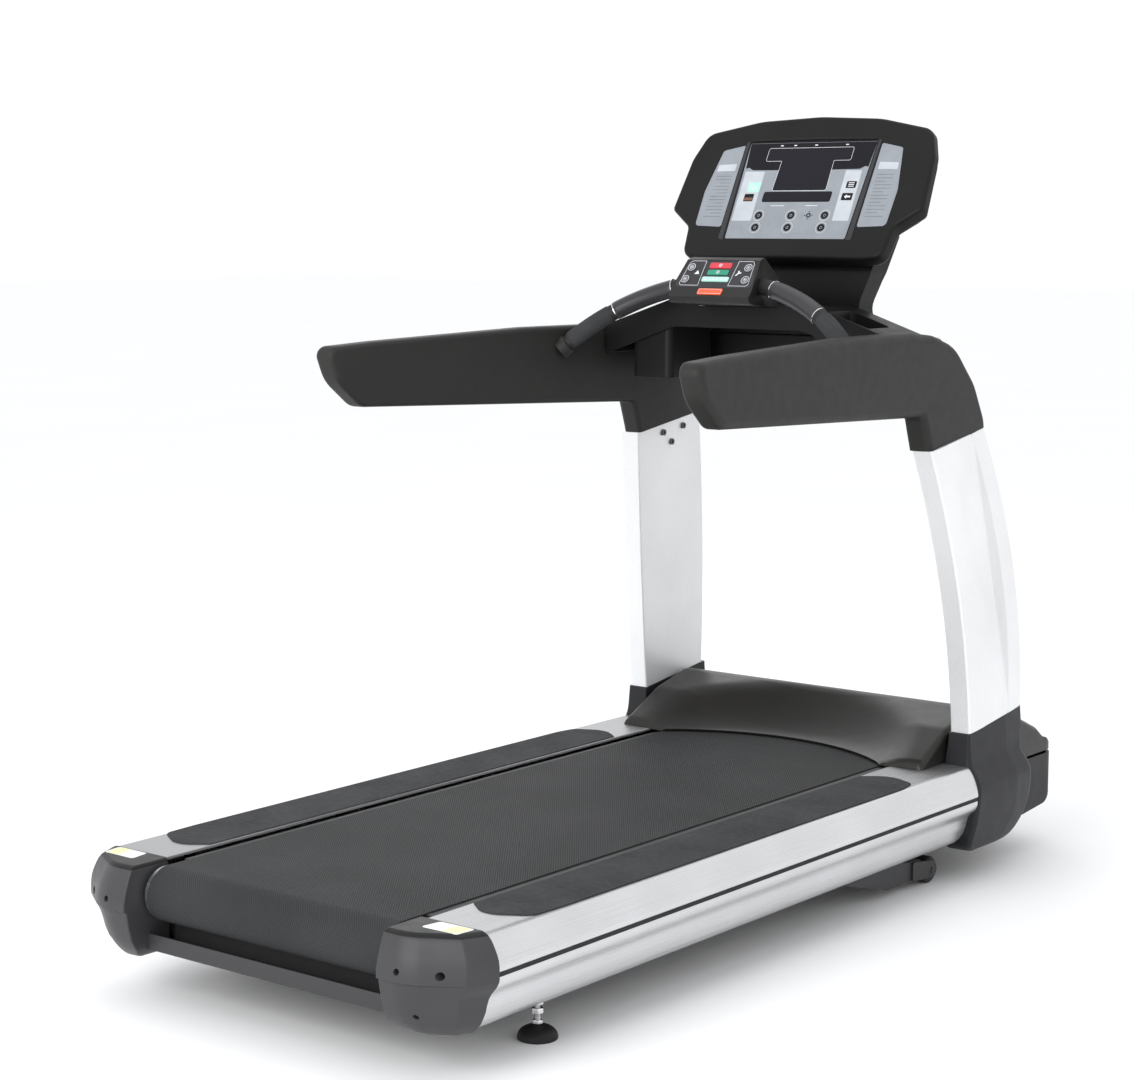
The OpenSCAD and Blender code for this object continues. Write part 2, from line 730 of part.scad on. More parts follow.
elbow_x = 364;
arm_hinge = [362, 500];
arm_splay = 4.7;
arm_z = [1150, 1137];
arm_tip = -404;
arm_outline = rounded([
    [arm_tip, arm_z[1] - 4, 24], [arm_tip + 131, arm_z[1] + 2, 0], [150, arm_z[0], 0], [440, arm_z[0], 0],
    [440, 983, 0], [0, 997, 0], [arm_tip + 86, 1010, 40], [arm_tip + 23, 1060, 60]
]);
elbow_outline = rounded([
    [390, 985, 0], [483, 981, 16], [top_rear.x, top_rear.y, 0], [top_front.x + 4, top_front.y + 0.9, 0],
    [730, 962, 30], [690, 1034, 120], [610, 1115, 120], [525, 1141, 100], [430, arm_z[0], 100],
    [390, arm_z[0], 0]
]);

module arm_frame() {
    translate([arm_hinge.x, arm_hinge.y, 0]) rotate([0, 0, arm_splay])
        translate([0, -arm_hinge.y, 0]) children();
}

module arm_edges(x, z0, z1) {
    along_y(rounded([[x - arm_t / 2, z0, 14], [x + arm_t / 2, z0, 14],
        [x + arm_t / 2, z1, 22], [x - arm_t / 2, z1, 22]]), -500, 900);
}

module handrail() {
    difference() {
        union() {
            arm_frame() intersection() {
                along_x(arm_outline, -arm_t / 2, arm_t / 2);
                arm_edges(0, 985, arm_z[0]);
            }
            intersection() {
                along_x(elbow_outline, elbow_x - arm_t / 2, elbow_x + arm_t / 2);
                arm_edges(elbow_x, 850, arm_z[0]);
            }
        }
        arm_frame() block([-arm_t / 2 + 5, arm_t / 2 - 5], [arm_tip + 60, 430], [1030, 1120]);
        block([elbow_x - arm_t / 2 + 5, elbow_x + arm_t / 2 - 5], [530, 640], [880, 1060]);
    }
}

module handrail_right() color("#29292b") handrail();
module handrail_left() color("#29292b") left() handrail();

cross_half = elbow_x - arm_t / 2;
cross_y = [590, 665];
cross_low = 1037;
cross_top = 1130;

// Section of the crossbar, drawn in by t.
function cross_section(t) = rounded([
    [cross_y[0] + t, cross_low + t, 6], [cross_y[0] + t, cross_top - t, 4],
    [cross_y[1] - 35 - t / 2, cross_top - t, 20 - t], [cross_y[1] - t, 1092 - t / 2, 30 - t],
    [cross_y[1] - t, cross_low + t, 10 - t]
]);

module crossbar() color("#232325") difference() {
    along_x(cross_section(0), -cross_half, cross_half);
    along_x(cross_section(wall), -cross_half - 1, cross_half + 1);
}

// ---- accessory tray ----

tray_y = [380, 590];
tray_half = cross_half - 1.5;
tray_ridge = 150;
tray_peak = 1195;
tray_edge = 1132;
lip_rise = 18;
tray_drop = (tray_peak - tray_edge) / (tray_half - tray_ridge);
bucket_x = [173, 275];
bucket_y = [388, 546];
bucket_floor = 1040;

tray_under = both_sides([
    [tray_ridge, tray_peak - 5, 40], [tray_half - 5, tray_edge - 4, 0], [tray_half - 5, 1000, 0]
]);
tray_profile = rounded(both_sides([
    [tray_ridge, tray_peak, 40], [tray_half, tray_edge, 0], [tray_half, 1088, 0],
    [tray_ridge + 10, 1150, 40]
]));

function tray_top(x) = tray_peak - (x - tray_ridge) * tray_drop;

// Plan of an open bucket in the tray, drawn in by t.
function bucket_plan(t) = rounded([
    [bucket_x[0] + t, bucket_y[0] + t, 16 - t], [bucket_x[1] - t, bucket_y[0] + t, 16 - t],
    [bucket_x[1] - t, bucket_y[1] - t, 16 - t], [bucket_x[0] + t, bucket_y[1] - t, 16 - t]
]);

module bucket() intersection() {
    along_z(bucket_plan(0), bucket_floor, tray_peak);
    along_y([
        [bucket_x[0], bucket_floor], [bucket_x[1], bucket_floor],
        [bucket_x[1], tray_top(bucket_x[1]) - 2], [bucket_x[0], tray_top(bucket_x[0]) - 2]
    ], tray_y[0], tray_y[1]);
}

module accessory_tray() color("#262628") difference() {
    union() {
        difference() {
            along_y(tray_profile, tray_y[0], tray_y[1]);
            along_y(rounded(tray_under), tray_y[0] + 6, tray_y[1] - 6);
        }
        both() bucket();
        // raised lip along the rear edge, either side of the activity housing
        both() along_y([
            [100, tray_peak - 3], [tray_ridge, tray_peak - 3], [tray_half, tray_edge - 3],
            [tray_half, tray_edge + lip_rise], [tray_ridge, tray_peak + lip_rise], [100, tray_peak + lip_rise]
        ], tray_y[0], tray_y[0] + 8);
    }
    both() along_z(bucket_plan(wall), bucket_floor + wall, 1300);
}

// ---- activity zone ----

module at_activity() {
    translate([0, activity_at.x, activity_at.y]) rotate([90 - activity_lean, 0, 0]) children();
}

activity_side = rounded([
    [282, 1204, 10], [277, 1217, 4], [334, 1291.3, 4], [354, 1297, 12], [440, 1240, 60],
    [468, tray_peak, 0], [385, tray_peak, 0], [330, 1199, 30]
]);
activity_plan = both_sides([[104, 270, 16], [88, 345, 20], [72, 470, 10]]);
function panel_outline(grow) =
    rounded(both_sides([[98 + grow, 2 - grow, 12], [82 + grow, 69 + grow, 14]]));

// Keys of the activity zone: [across, up, width, height, corner radius]
stop_at = [0, 57, 54, 14, 3];
go_at = [0, 40, 52, 13, 3];
cool_down_at = [0, 23, 66, 12, 3];
incline_up_at = [-70, 52, 20, 20, 9.9];
incline_down_at = [-74, 22, 20, 20, 9.9];
speed_up_at = [70, 52, 20, 20, 9.9];
speed_down_at = [74, 22, 20, 20, 9.9];
emergency_at = [0, -8, 60, 15, 3];
panel_keys = [stop_at, go_at, cool_down_at, incline_up_at, incline_down_at, speed_up_at, speed_down_at];

module key_outline(k, grow) {
    w = k[2] / 2 + grow;
    h = k[3] / 2 + grow;
    translate([k.x, k.y]) if (k[4] > 9) circle(r = w);
    else polygon(rounded([[-w, -h, k[4]], [w, -h, k[4]], [w, h, k[4]], [-w, h, k[4]]], 4));
}

module panel_key(k) {
    at_activity() {
        translate([0, 0, -6]) linear_extrude(6 + key_proud) key_outline(k, 0);
        translate([0, 0, -8]) linear_extrude(2) key_outline(k, 1.2);
    }
}

module activity_housing() color("#262729") difference() {
    intersection() {
        along_x(activity_side, -110, 110);
        along_z(rounded(activity_plan), 1150, 1320);
    }
    at_activity() {
        translate([0, 0, -panel_t]) linear_extrude(10) polygon(panel_outline(0.2));
        translate([0, 0, -16]) linear_extrude(17) polygon(rounded(both_sides([[94, 6, 8], [81, 66, 8]])));
        translate([0, 0, -16]) linear_extrude(30) key_outline(emergency_at, key_gap);
        translate([0, 0, -16]) linear_extrude(11) key_outline(emergency_at, 2);
    }
    // way down to the tray for the wiring
    block([-30, 30], [395, 440], [1150, 1215]);
}

module activity_panel() color("#1a1b1d") at_activity() translate([0, 0, -panel_t]) linear_extrude(panel_t)
    difference() {
        polygon(panel_outline(0));
        for (k = panel_keys) key_outline(k, key_gap);
    }

module stop_key() color("firebrick") panel_key(stop_at);
module go_key() color("seagreen") panel_key(go_at);
module cool_down_key() color("mediumaquamarine") panel_key(cool_down_at);
module incline_up_key() color("#303236") panel_key(incline_up_at);
module incline_down_key() color("#303236") panel_key(incline_down_at);
module speed_up_key() color("#303236") panel_key(speed_up_at);
module speed_down_key() color("#303236") panel_key(speed_down_at);
module emergency_stop_key() color("orangered") panel_key(emergency_at);

// ---- bar between the handrails ----

bar_base = [253, 1103];
bar_reach = 358;
bar_top = [344, 1246];
bar_rise = norm(bar_top - bar_base);
bar_bend = (bar_reach * bar_reach + bar_rise * bar_rise) / (2 * bar_rise);
bar_half_turn = 51.4;
bar_tilt = atan2(bar_top.y - bar_base.y, bar_top.x - bar_base.x);

// Ring sector about the bend centre of the bar, from a0 to a1 degrees off the middle.
module bar_sector(r, bore, a0, a1) {
    translate([0, bar_top.x, bar_top.y]) rotate([bar_tilt, 0, 0]) translate([0, -bar_bend, 0])
        rotate([0, 0, 90 - a1]) rotate_extrude(angle = a1 - a0, $fn = 180) translate([bar_bend, 0])
            difference() {
                circle(r = r, $fn = 48);
                if (bore > 0) circle(r = bore, $fn = 48);
            }
}

module ergo_bar() color("#1f1f21") both() {
    bar_sector(bar_r, bar_r - 2, 11.6, bar_half_turn);
    bar_sector(bar_r + 5, bar_r - 2, bar_half_turn - 2.4, bar_half_turn);
}

module grip_sensors() color("#3a3a3c") both() bar_sector(bar_r + 2, bar_r + 0.1, 15.6, 33);

// ---- console ----

module at_console(depth = 0) {
    translate([0, console_at.x, console_at.y]) rotate([90 - console_lean, 0, 0])
        translate([0, 0, depth]) children();
}

console_half = [
    [204, -12, 20], [250, -7, 22], [259, 64, 16], [315, 106, 10], [305, 230, 60],
    [282, 294, 30], [150, 323, 200]
];
function shrink(pts, s) = [for (p = pts) [p.x * s, 155 + (p.y - 155) * s]];
console_outline = rounded(both_sides(concat([[60, -11, 0]], console_half, [[40, 330.5, 0]])), 6);

overlay_outline = rounded(both_sides([[151, 34, 4], [160, 266, 4]]));
side_panel = rounded([[170, 62, 6], [240, 65, 10], [243, 150, 40], [226, 250, 8], [172, 262, 4]]);
side_panel_left = [for (i = [len(side_panel) - 1:-1:0]) [-side_panel[i].x, side_panel[i].y]];
t_window = both_sides([[66, 151, 3], [64, 223, 3], [105, 223, 3], [105, 251, 3]]);
message_window = both_sides([[83, 125, 2], [83, 144, 2]]);
sheet_t = 1.5;
recess = 2.5;

module face_sheets() {
    polygon(overlay_outline);
    polygon(side_panel);
    polygon(side_panel_left);
}

board_z = -18;
board_holes = [for (u = [-140, 140]) for (v = [50, 252]) [u, v]];

module console_bezel() color("#232426") {
    difference() {
        at_console(-bezel_t) linear_extrude(bezel_t) polygon(console_outline);
        at_console(-bezel_t - 1) linear_extrude(bezel_t - 5) polygon(shrink(console_outline, 0.96));
        at_console(-recess) linear_extrude(10) face_sheets();
    }
    // posts for the circuit board
    at_console(board_z + 2) for (p = board_holes) translate(p) cylinder(r = 4, h = 11);
}

module console_overlay() color("silver") at_console(-recess) linear_extrude(sheet_t) difference() {
    face_sheets();
    polygon(rounded(t_window));
    polygon(rounded(message_window));
}

module display_window() color("#101014") at_console(-recess) linear_extrude(sheet_t) {
    polygon(rounded(t_window));
    polygon(rounded(message_window));
}

module console_back() color("#1e1f21") difference() {
    union() {
        at_console(-bezel_t - 22) linear_extrude(22) polygon(shrink(console_outline, 0.965));
        at_console(-console_depth) linear_extrude(console_depth - bezel_t - 22)
            polygon(shrink(console_outline, 0.89));
    }
    at_console(-bezel_t - 20) linear_extrude(30) polygon(shrink(console_outline, 0.935));
    at_console(-console_depth + 4) linear_extrude(60) polygon(shrink(console_outline, 0.855));
}

module console_board() color("darkgreen") at_console(board_z) linear_extrude(2) difference() {
    polygon([[-150, 40], [150, 40], [150, 262], [-150, 262]]);
    for (p = board_holes) translate(p) circle(r = 2);
}

neck_gap = 0.4;
neck_low = cross_top + 1;
neck_hold = 95;
back_out = [cos(console_lean), -sin(console_lean)];
back_up = [sin(console_lean), cos(console_lean)];
back_foot = console_at + back_out * (console_depth + neck_gap);
neck_outline = [
    [cross_y[0] + 1, neck_low], [cross_y[0] + 1, 1215], back_foot + back_up * 2,
    back_foot + back_up * neck_hold, back_foot + back_up * neck_hold + [42, -14],
    [656, 1245], [634, neck_low]
];
neck_front = both_sides([
    [338, neck_low, 0], [262, 1134, 20], [190, 1149, 30], [158, 1182, 40], [187, 1262, 60], [216, 1400, 0]
]);

module console_neck() color("#202123") difference() {
    intersection() {
        along_x(neck_outline, -340, 340);
        along_y(rounded(neck_front), 500, 800);
    }
    intersection() {
        along_x([for (p = neck_outline) [622 + (p.x - 622) * 0.8, p.y - 2 * wall]], -330, 330);
        along_y([for (p = rounded(neck_front)) [p.x * 0.96, p.y - wall - 2]], 500, 800);
    }
}

main_frame();
side_rail_left();
side_rail_right();
rail_strips();
grip_pads();
rear_cap_left();
rear_cap_right();
deck_board();
deck_cushions();
roller_axles();
tension_bolts();
running_belt();
front_roller();
rear_roller();
drive_belt();
drive_motor();
motor_rotor();
motor_controller();
power_inlet();
lift_motor();
lift_frame();
lift_wheel_left();
lift_wheel_right();
lift_screw_tube();
levelling_foot_left();
levelling_foot_right();
motor_hood();
front_bumper();
belly_pan();
boot_left();
boot_right();
upright_left();
upright_right();
upright_bolts();
handrail_left();
handrail_right();
crossbar();
accessory_tray();
console_neck();
activity_housing();
activity_panel();
ergo_bar();
grip_sensors();
console_back();
console_bezel();
console_overlay();
display_window();
console_board();
stop_key();
go_key();
cool_down_key();
incline_up_key();
incline_down_key();
speed_up_key();
speed_down_key();
emergency_stop_key();
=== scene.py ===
import json
import math

import bmesh
import bpy
from mathutils import Matrix, Vector


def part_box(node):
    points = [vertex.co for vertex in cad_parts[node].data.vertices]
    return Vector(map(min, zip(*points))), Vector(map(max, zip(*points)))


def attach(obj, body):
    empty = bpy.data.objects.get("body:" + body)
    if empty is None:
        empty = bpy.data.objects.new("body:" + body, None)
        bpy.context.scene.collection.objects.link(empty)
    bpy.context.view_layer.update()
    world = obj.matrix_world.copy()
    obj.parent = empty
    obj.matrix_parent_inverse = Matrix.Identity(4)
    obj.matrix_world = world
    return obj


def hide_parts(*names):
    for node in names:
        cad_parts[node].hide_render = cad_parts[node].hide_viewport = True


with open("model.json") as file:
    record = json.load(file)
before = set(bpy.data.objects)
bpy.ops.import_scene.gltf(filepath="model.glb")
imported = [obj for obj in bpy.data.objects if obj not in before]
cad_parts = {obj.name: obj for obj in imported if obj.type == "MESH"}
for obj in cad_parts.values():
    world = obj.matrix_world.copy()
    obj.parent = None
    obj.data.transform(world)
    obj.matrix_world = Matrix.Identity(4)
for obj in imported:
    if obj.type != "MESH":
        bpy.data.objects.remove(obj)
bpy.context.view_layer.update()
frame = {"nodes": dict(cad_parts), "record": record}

# Lengths are in millimetres in this script, and MM turns them into Blender's metres.
MM = 0.001
UP_AXIS = Vector((0, 0, 1))
# Scale of Blender's wave texture that gives one wave in each metre.
WAVE_SCALE = 0.314159
SIDES = (("right", 1), ("left", -1))
BODY_OF = {n: b for b, nodes in frame["record"]["behaviour"]["bodies"].items() for n in nodes}


def box_mm(node):
    """Lowest and highest corner of a CAD node, in millimetres."""
    lo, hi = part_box(node)
    return lo / MM, hi / MM


# --------------- outlines

def corner(p, q, s, r, n):
    """Points of a rounded corner of radius r at q, between p and s."""
    if r <= 0:
        return [tuple(q)]
    a, b = (p - q).normalized(), (s - q).normalized()
    half = math.acos(max(-1, min(1, a.dot(b)))) / 2
    if half < 1e-3 or half > math.pi / 2 - 5e-3:
        return [tuple(q)] * (n + 1)
    reach = min(r / math.tan(half), (p - q).length * 0.49, (s - q).length * 0.49)
    r = reach * math.tan(half)
    c = q + (a + b).normalized() * r / math.sin(half)
    start, end = q + a * reach - c, q + b * reach - c
    a0 = math.atan2(start.y, start.x)
    turn = math.atan2(start.x * end.y - start.y * end.x, start.dot(end))
    return [(c.x + r * math.cos(a0 + turn * i / n), c.y + r * math.sin(a0 + turn * i / n))
            for i in range(n + 1)]


def rounded(points, n=6):
    """Closed outline from a list of (x, y) or (x, y, corner radius)."""
    out = []
    for i, point in enumerate(points):
        p, q, s = (Vector(points[j % len(points)][:2]) for j in (i - 1, i, i + 1))
        out += corner(p, q, s, point[2] if len(point) > 2 else 0, n)
    return out


def dense(loop, step):
    """The same closed outline with points no further apart than step."""
    out = []
    for i, p in enumerate(loop):
        q = loop[(i + 1) % len(loop)]
        n = max(1, math.ceil(math.dist(p, q) / step))
        out += [(p[0] + (q[0] - p[0]) * k / n, p[1] + (q[1] - p[1]) * k / n) for k in range(n)]
    return out


def curve_through(points, n=6):
    """Smooth open line through the points."""
    pts = [points[0]] + list(points) + [points[-1]]
    out = []
    for i in range(1, len(pts) - 2):
        p0, p1, p2, p3 = (Vector(p) for p in pts[i - 1:i + 3])
        for k in range(n):
            t = k / n
            out.append(tuple(0.5 * (2 * p1 + (p2 - p0) * t + (2 * p0 - 5 * p1 + 4 * p2 - p3) * t * t
                                    + (3 * p1 - p0 - 3 * p2 + p3) * t ** 3)))
    return out + [tuple(points[-1])]


def area(loop):
    return sum(loop[i - 1][0] * p[1] - p[0] * loop[i - 1][1] for i, p in enumerate(loop)) / 2


def inset(loop, d):
    """The closed outline moved inwards by d, or outwards where d is negative."""
    turn = 1 if area(loop) > 0 else -1
    out = []
    for i, p in enumerate(loop):
        a = (Vector(p) - Vector(loop[i - 1])).normalized()
        b = (Vector(loop[(i + 1) % len(loop)]) - Vector(p)).normalized()
        na, nb = Vector((-a.y, a.x)) * turn, Vector((-b.y, b.x)) * turn
        m = na + nb
        if m.length < 1e-6:
            m = na
        m = m / max(m.length_squared, 0.4) * 2
        out.append((p[0] + m.x * d, p[1] + m.y * d))
    return out


def mirrored(points):
    """Outline symmetric about x = 0, from its right half."""
    return list(points) + [(-p[0],) + tuple(p[1:]) for p in reversed(points)]


def polar(r, degrees):
    """The point at distance r and an angle from the first axis."""
    a = math.radians(degrees)
    return r * math.cos(a), r * math.sin(a)


def at_value(table, x):
    """Straight-line look-up in a list of (x, value)."""
    if x <= table[0][0]:
        return table[0][1]
    for (x0, v0), (x1, v1) in zip(table, table[1:]):
        if x <= x1:
            return v0 + (v1 - v0) * (x - x0) / (x1 - x0)
    return table[-1][1]


def edge_profile(t, r0, r1, n):
    """(inset, depth) steps of a slab of thickness t whose two rims are rounded by r0 and r1."""
    angles = [math.pi / 2 * k / n for k in range(n + 1)]
    low = [(r0 * (1 - math.sin(a)), r0 * (1 - math.cos(a))) for a in angles] if r0 else [(0, 0)]
    high = [(r1 * (1 - math.cos(a)), t - r1 * (1 - math.sin(a))) for a in angles]
    return low + high


# --------------- meshes

def loft(rings, closed=False, caps=True):
    """Vertices and faces of a skin through rings that have the same number of points."""
    n = len(rings[0])
    verts = [tuple(p) for ring in rings for p in ring]
    faces = []
    for r in range(len(rings) - (0 if closed else 1)):
        a, b = r * n, (r + 1) % len(rings) * n
        faces += [(a + i, a + (i + 1) % n, b + (i + 1) % n, b + i) for i in range(n)]
    if caps and not closed:
        faces += [tuple(range(n))[::-1], tuple(range((len(rings) - 1) * n, len(rings) * n))]
    return verts, faces


def slab(loop, steps, place):
    """A slab with shaped rims: place(a, b, depth) gives the point in space."""
    return loft([[place(a, b, depth) for a, b in (inset(loop, d) if d else loop)]
                 for d, depth in steps])


def lathe(profile, centre, axis=UP_AXIS, n=48):
    """A turned piece from (radius, height) points, closed on its axis."""
    turn = UP_AXIS.rotation_difference(Vector(axis).normalized())
    turns = [2 * math.pi * i / n for i in range(n)]
    rings = []
    for r, h in profile:
        rings.append([Vector(centre) + turn @ Vector((r * math.cos(a), r * math.sin(a), h)) for a in turns])
    return loft(rings)


def tube(path, radii, n=40):
    """A round bar along a path, with a radius for each point."""
    rings = []
    side = None
    for i, p in enumerate(path):
        p = Vector(p)
        along = (Vector(path[min(i + 1, len(path) - 1)]) - Vector(path[max(i - 1, 0)])).normalized()
        side = (side or along.orthogonal()) - along * (side or along.orthogonal()).dot(along)
        side.normalize()
        up = along.cross(side)
        turns = [2 * math.pi * k / n for k in range(n)]
        rings.append([p + (side * math.cos(a) + up * math.sin(a)) * radii[i] for a in turns])
    return loft(rings)


def joined(parts):
    verts, faces = [], []
    for v, f in parts:
        base = len(verts)
        verts += v
        faces += [tuple(i + base for i in face) for face in f]
    return verts, faces


def flipped(part):
    """The mirror image on the other side of x = 0."""
    verts, faces = part
    return [(-v[0], v[1], v[2]) for v in verts], [tuple(reversed(f)) for f in faces]


def on_side(s, part):
    """The part as drawn for the right side, or mirrored for the left."""
    return part if s > 0 else flipped(part)


def both(*parts):
    """The parts and their mirror images, as one."""
    return joined([q for p in parts for q in (p, flipped(p))])


def mesh_of(name, part, unit=MM):
    mesh = bpy.data.meshes.new(name)
    mesh.from_pydata([Vector(v) * unit for v in part[0]], [], part[1])
    return mesh


def linked(name, data):
    """A new object of the scene."""
    obj = bpy.data.objects.new(name, data)
    bpy.context.scene.collection.objects.link(obj)
    return obj


def settle(mesh, sharp):
    """Merges doubles, turns the normals out, and shades smooth up to an angle."""
    bm = bmesh.new()
    bm.from_mesh(mesh)
    bmesh.ops.remove_doubles(bm, verts=bm.verts, dist=2e-6)
    bmesh.ops.dissolve_degenerate(bm, edges=bm.edges, dist=2e-6)
    bmesh.ops.recalc_face_normals(bm, faces=bm.faces)
    for f in bm.faces:
        f.smooth = True
    for e in bm.edges:
        e.smooth = len(e.link_faces) == 2 and e.calc_face_angle() < math.radians(sharp)
    bm.to_mesh(mesh)
    bm.free()


def make(name, part, look, body="frame", stands_for=(), sharp=38, uv=None):
    """A piece from (vertices, faces) in millimetres, on its body and with its look."""
    mesh = mesh_of(name, part)
    if uv:
        layer = mesh.uv_layers.new(name="UVMap")
        for loop in mesh.loops:
            layer.data[loop.index].uv = Vector(uv[loop.vertex_index]) * MM
    settle(mesh, sharp)
    return dress(linked(name, mesh), look, body, stands_for)


def dress(obj, look, body, stands_for):
    """Gives a piece its finish: the finish of a slot of the record, or the finish of a pair of finish and
    slot, whose slot is not used.
    """
    finish, slot = look if isinstance(look, tuple) else (FINISHES[look], look)
    obj.data.materials.clear()
    obj.data.materials.append(finish)
    obj.modifiers.new("normals", "WEIGHTED_NORMAL").keep_sharp = True
    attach(obj, body)
    if stands_for:
        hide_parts(*stands_for)
    return obj


def refine(node, look, bevel, segments):
    """A refined copy of a CAD node: flat facets joined, and its edges rounded."""
    bm = bmesh.new()
    bm.from_mesh(frame["nodes"][node].data)
    bmesh.ops.remove_doubles(bm, verts=bm.verts, dist=5e-6)
    bmesh.ops.dissolve_limit(bm, angle_limit=math.radians(0.8), verts=bm.verts, edges=bm.edges)
    edges = [e for e in bm.edges
             if len(e.link_faces) == 2 and e.calc_face_angle() > math.radians(30)]
    bmesh.ops.bevel(bm, geom=edges, offset=bevel * MM, offset_type="OFFSET", segments=segments,
                    profile=0.5, affect="EDGES", clamp_overlap=True)
    mesh = bpy.data.meshes.new(node + "_skin")
    bm.to_mesh(mesh)
    bm.free()
    settle(mesh, 38)
    return dress(linked(node + "_skin", mesh), look, BODY_OF[node], [node])


def bake_modifiers(obj):
    graph = bpy.context.evaluated_depsgraph_get()
    mesh = bpy.data.meshes.new_from_object(obj.evaluated_get(graph), depsgraph=graph)
    obj.modifiers.clear()
    obj.data = mesh


def cut(part, cutters, name):
    """(vertices, faces) of a piece with the cutters taken out of it, in millimetres."""
    made = []
    for label, shape in (("body", part), ("tool", joined(cutters))):
        mesh = mesh_of(name + label, shape)
        settle(mesh, 30)
        made.append(linked(name + label, mesh))
    body, tool = made
    mod = body.modifiers.new("cut", "BOOLEAN")
    mod.operation, mod.solver, mod.object = "DIFFERENCE", "EXACT", tool
    bake_modifiers(body)
    out = ([tuple(v.co / MM) for v in body.data.vertices],
           [tuple(p.vertices) for p in body.data.polygons])
    for obj in made:
        bpy.data.objects.remove(obj)
    return out


def sliced(part, point, normal):
    """What lies on the far side of a plane from its normal, closed again."""
    mesh = mesh_of("slice", part, 1)
    bm = bmesh.new()
    bm.from_mesh(mesh)
    bmesh.ops.remove_doubles(bm, verts=bm.verts, dist=0.01)
    got = bmesh.ops.bisect_plane(bm, geom=bm.verts[:] + bm.edges[:] + bm.faces[:], dist=0.001,
                                 plane_co=point, plane_no=normal, clear_outer=True)
    rim = [e for e in got["geom_cut"] if isinstance(e, bmesh.types.BMEdge)]
    bmesh.ops.contextual_create(bm, geom=rim)
    bm.verts.index_update()
    out = [tuple(v.co) for v in bm.verts], [tuple(v.index for v in f.verts) for f in bm.faces]
    bm.free()
    bpy.data.meshes.remove(mesh)
    return out


# --------------- finishes

class Finish:
    """A small builder of node materials in object coordinates."""

    def __init__(self, name, rough, metallic=0.0, coat=0.0, coat_rough=0.15, specular=0.5):
        self.mat = bpy.data.materials.new(name)
        self.mat.use_nodes = True
        self.tree = self.mat.node_tree
        self.shader = self.tree.nodes["Principled BSDF"]
        values = {"Roughness": rough, "Metallic": metallic, "Coat Weight": coat,
                  "Coat Roughness": coat_rough, "Specular IOR Level": specular}
        for key, value in values.items():
            self.shader.inputs[key].default_value = value
        self.coord = self.tree.nodes.new("ShaderNodeTexCoord")
        self.bump = None

    def wire(self, a, b):
        self.tree.links.new(a, b)

    def node(self, kind, inputs=()):
        """A new shader node. Each of its named inputs is set to a value or wired to a socket."""
        node = self.tree.nodes.new("ShaderNode" + kind)
        for key, value in dict(inputs).items():
            if isinstance(value, bpy.types.NodeSocket):
                self.wire(value, node.inputs[key])
            else:
                node.inputs[key].default_value = value
        return node

    def mapped(self, scale=(1, 1, 1), turn=0.0, source="Object"):
        node = self.node("Mapping",
                         {"Scale": scale, "Rotation": (0, 0, turn), "Vector": self.coord.outputs[source]})
        return node.outputs["Vector"]

    def noise(self, size, detail=3.0, stretch=(1, 1, 1)):
        """Noise whose grains are about size millimetres wide."""
        node = self.node("TexNoise",
                         {"Scale": 1000.0 / size, "Detail": detail, "Vector": self.mapped(stretch)})
        return node.outputs["Fac"]

    def math(self, operation, a, b=0.0):
        node = self.node("Math", {0: a, 1: b})
        node.operation = operation
        return node.outputs[0]

    def blend(self, factor, low, high, start=0.35, end=0.65):
        """Colour that goes from low to high as factor goes from start to end."""
        node = self.node("ValToRGB", {"Fac": factor})
        stops = node.color_ramp.elements
        for stop, at, colour in ((stops[0], start, low), (stops[1], end, high)):
            stop.position = at
            stop.color = (*colour, 1) if isinstance(colour, tuple) else (colour, colour, colour, 1)
        return node.outputs["Color"]

    def mix(self, factor, a, b, how="MIX"):
        """Colour a, with b mixed in by factor. b is a socket or a fixed colour."""
        node = self.node("Mix", {"Factor": factor})
        node.data_type, node.blend_type = "RGBA", how
        first, second = [socket for socket in node.inputs if socket.type == "RGBA"]
        self.wire(a, first)
        if isinstance(b, tuple):
            second.default_value = (*b, 1)
        else:
            self.wire(b, second)
        return [socket for socket in node.outputs if socket.type == "RGBA"][0]

    def colour(self, socket):
        self.wire(socket, self.shader.inputs["Base Color"])

    def roughness(self, factor, low, high):
        node = self.node("MapRange", {"From Min": 0.3, "From Max": 0.7, "To Min": low, "To Max": high,
                                      "Value": factor})
        self.wire(node.outputs["Result"], self.shader.inputs["Roughness"])

    def above(self, low, high):
        """0 below the height low and 1 above the height high, in millimetres."""
        axes = self.node("SeparateXYZ", {0: self.coord.outputs["Object"]})
        node = self.node("MapRange",
                         {"From Min": low * MM, "From Max": high * MM, "Value": axes.outputs["Z"]})
        return node.outputs["Result"]

    def relief(self, height, depth, strength=1.0):
        """Bump of depth millimetres, on top of any that is there already."""
        node = self.node("Bump", {"Distance": depth * MM, "Strength": strength, "Height": height})
        if self.bump:
            self.wire(self.bump, node.inputs["Normal"])
        self.bump = node.outputs["Normal"]
        self.wire(self.bump, self.shader.inputs["Normal"])

    def edges(self):
        """Higher on outer edges than on flats."""
        return self.node("NewGeometry").outputs["Pointiness"]


def shade(colour, k):
    return tuple(min(1, c * k) for c in colour)


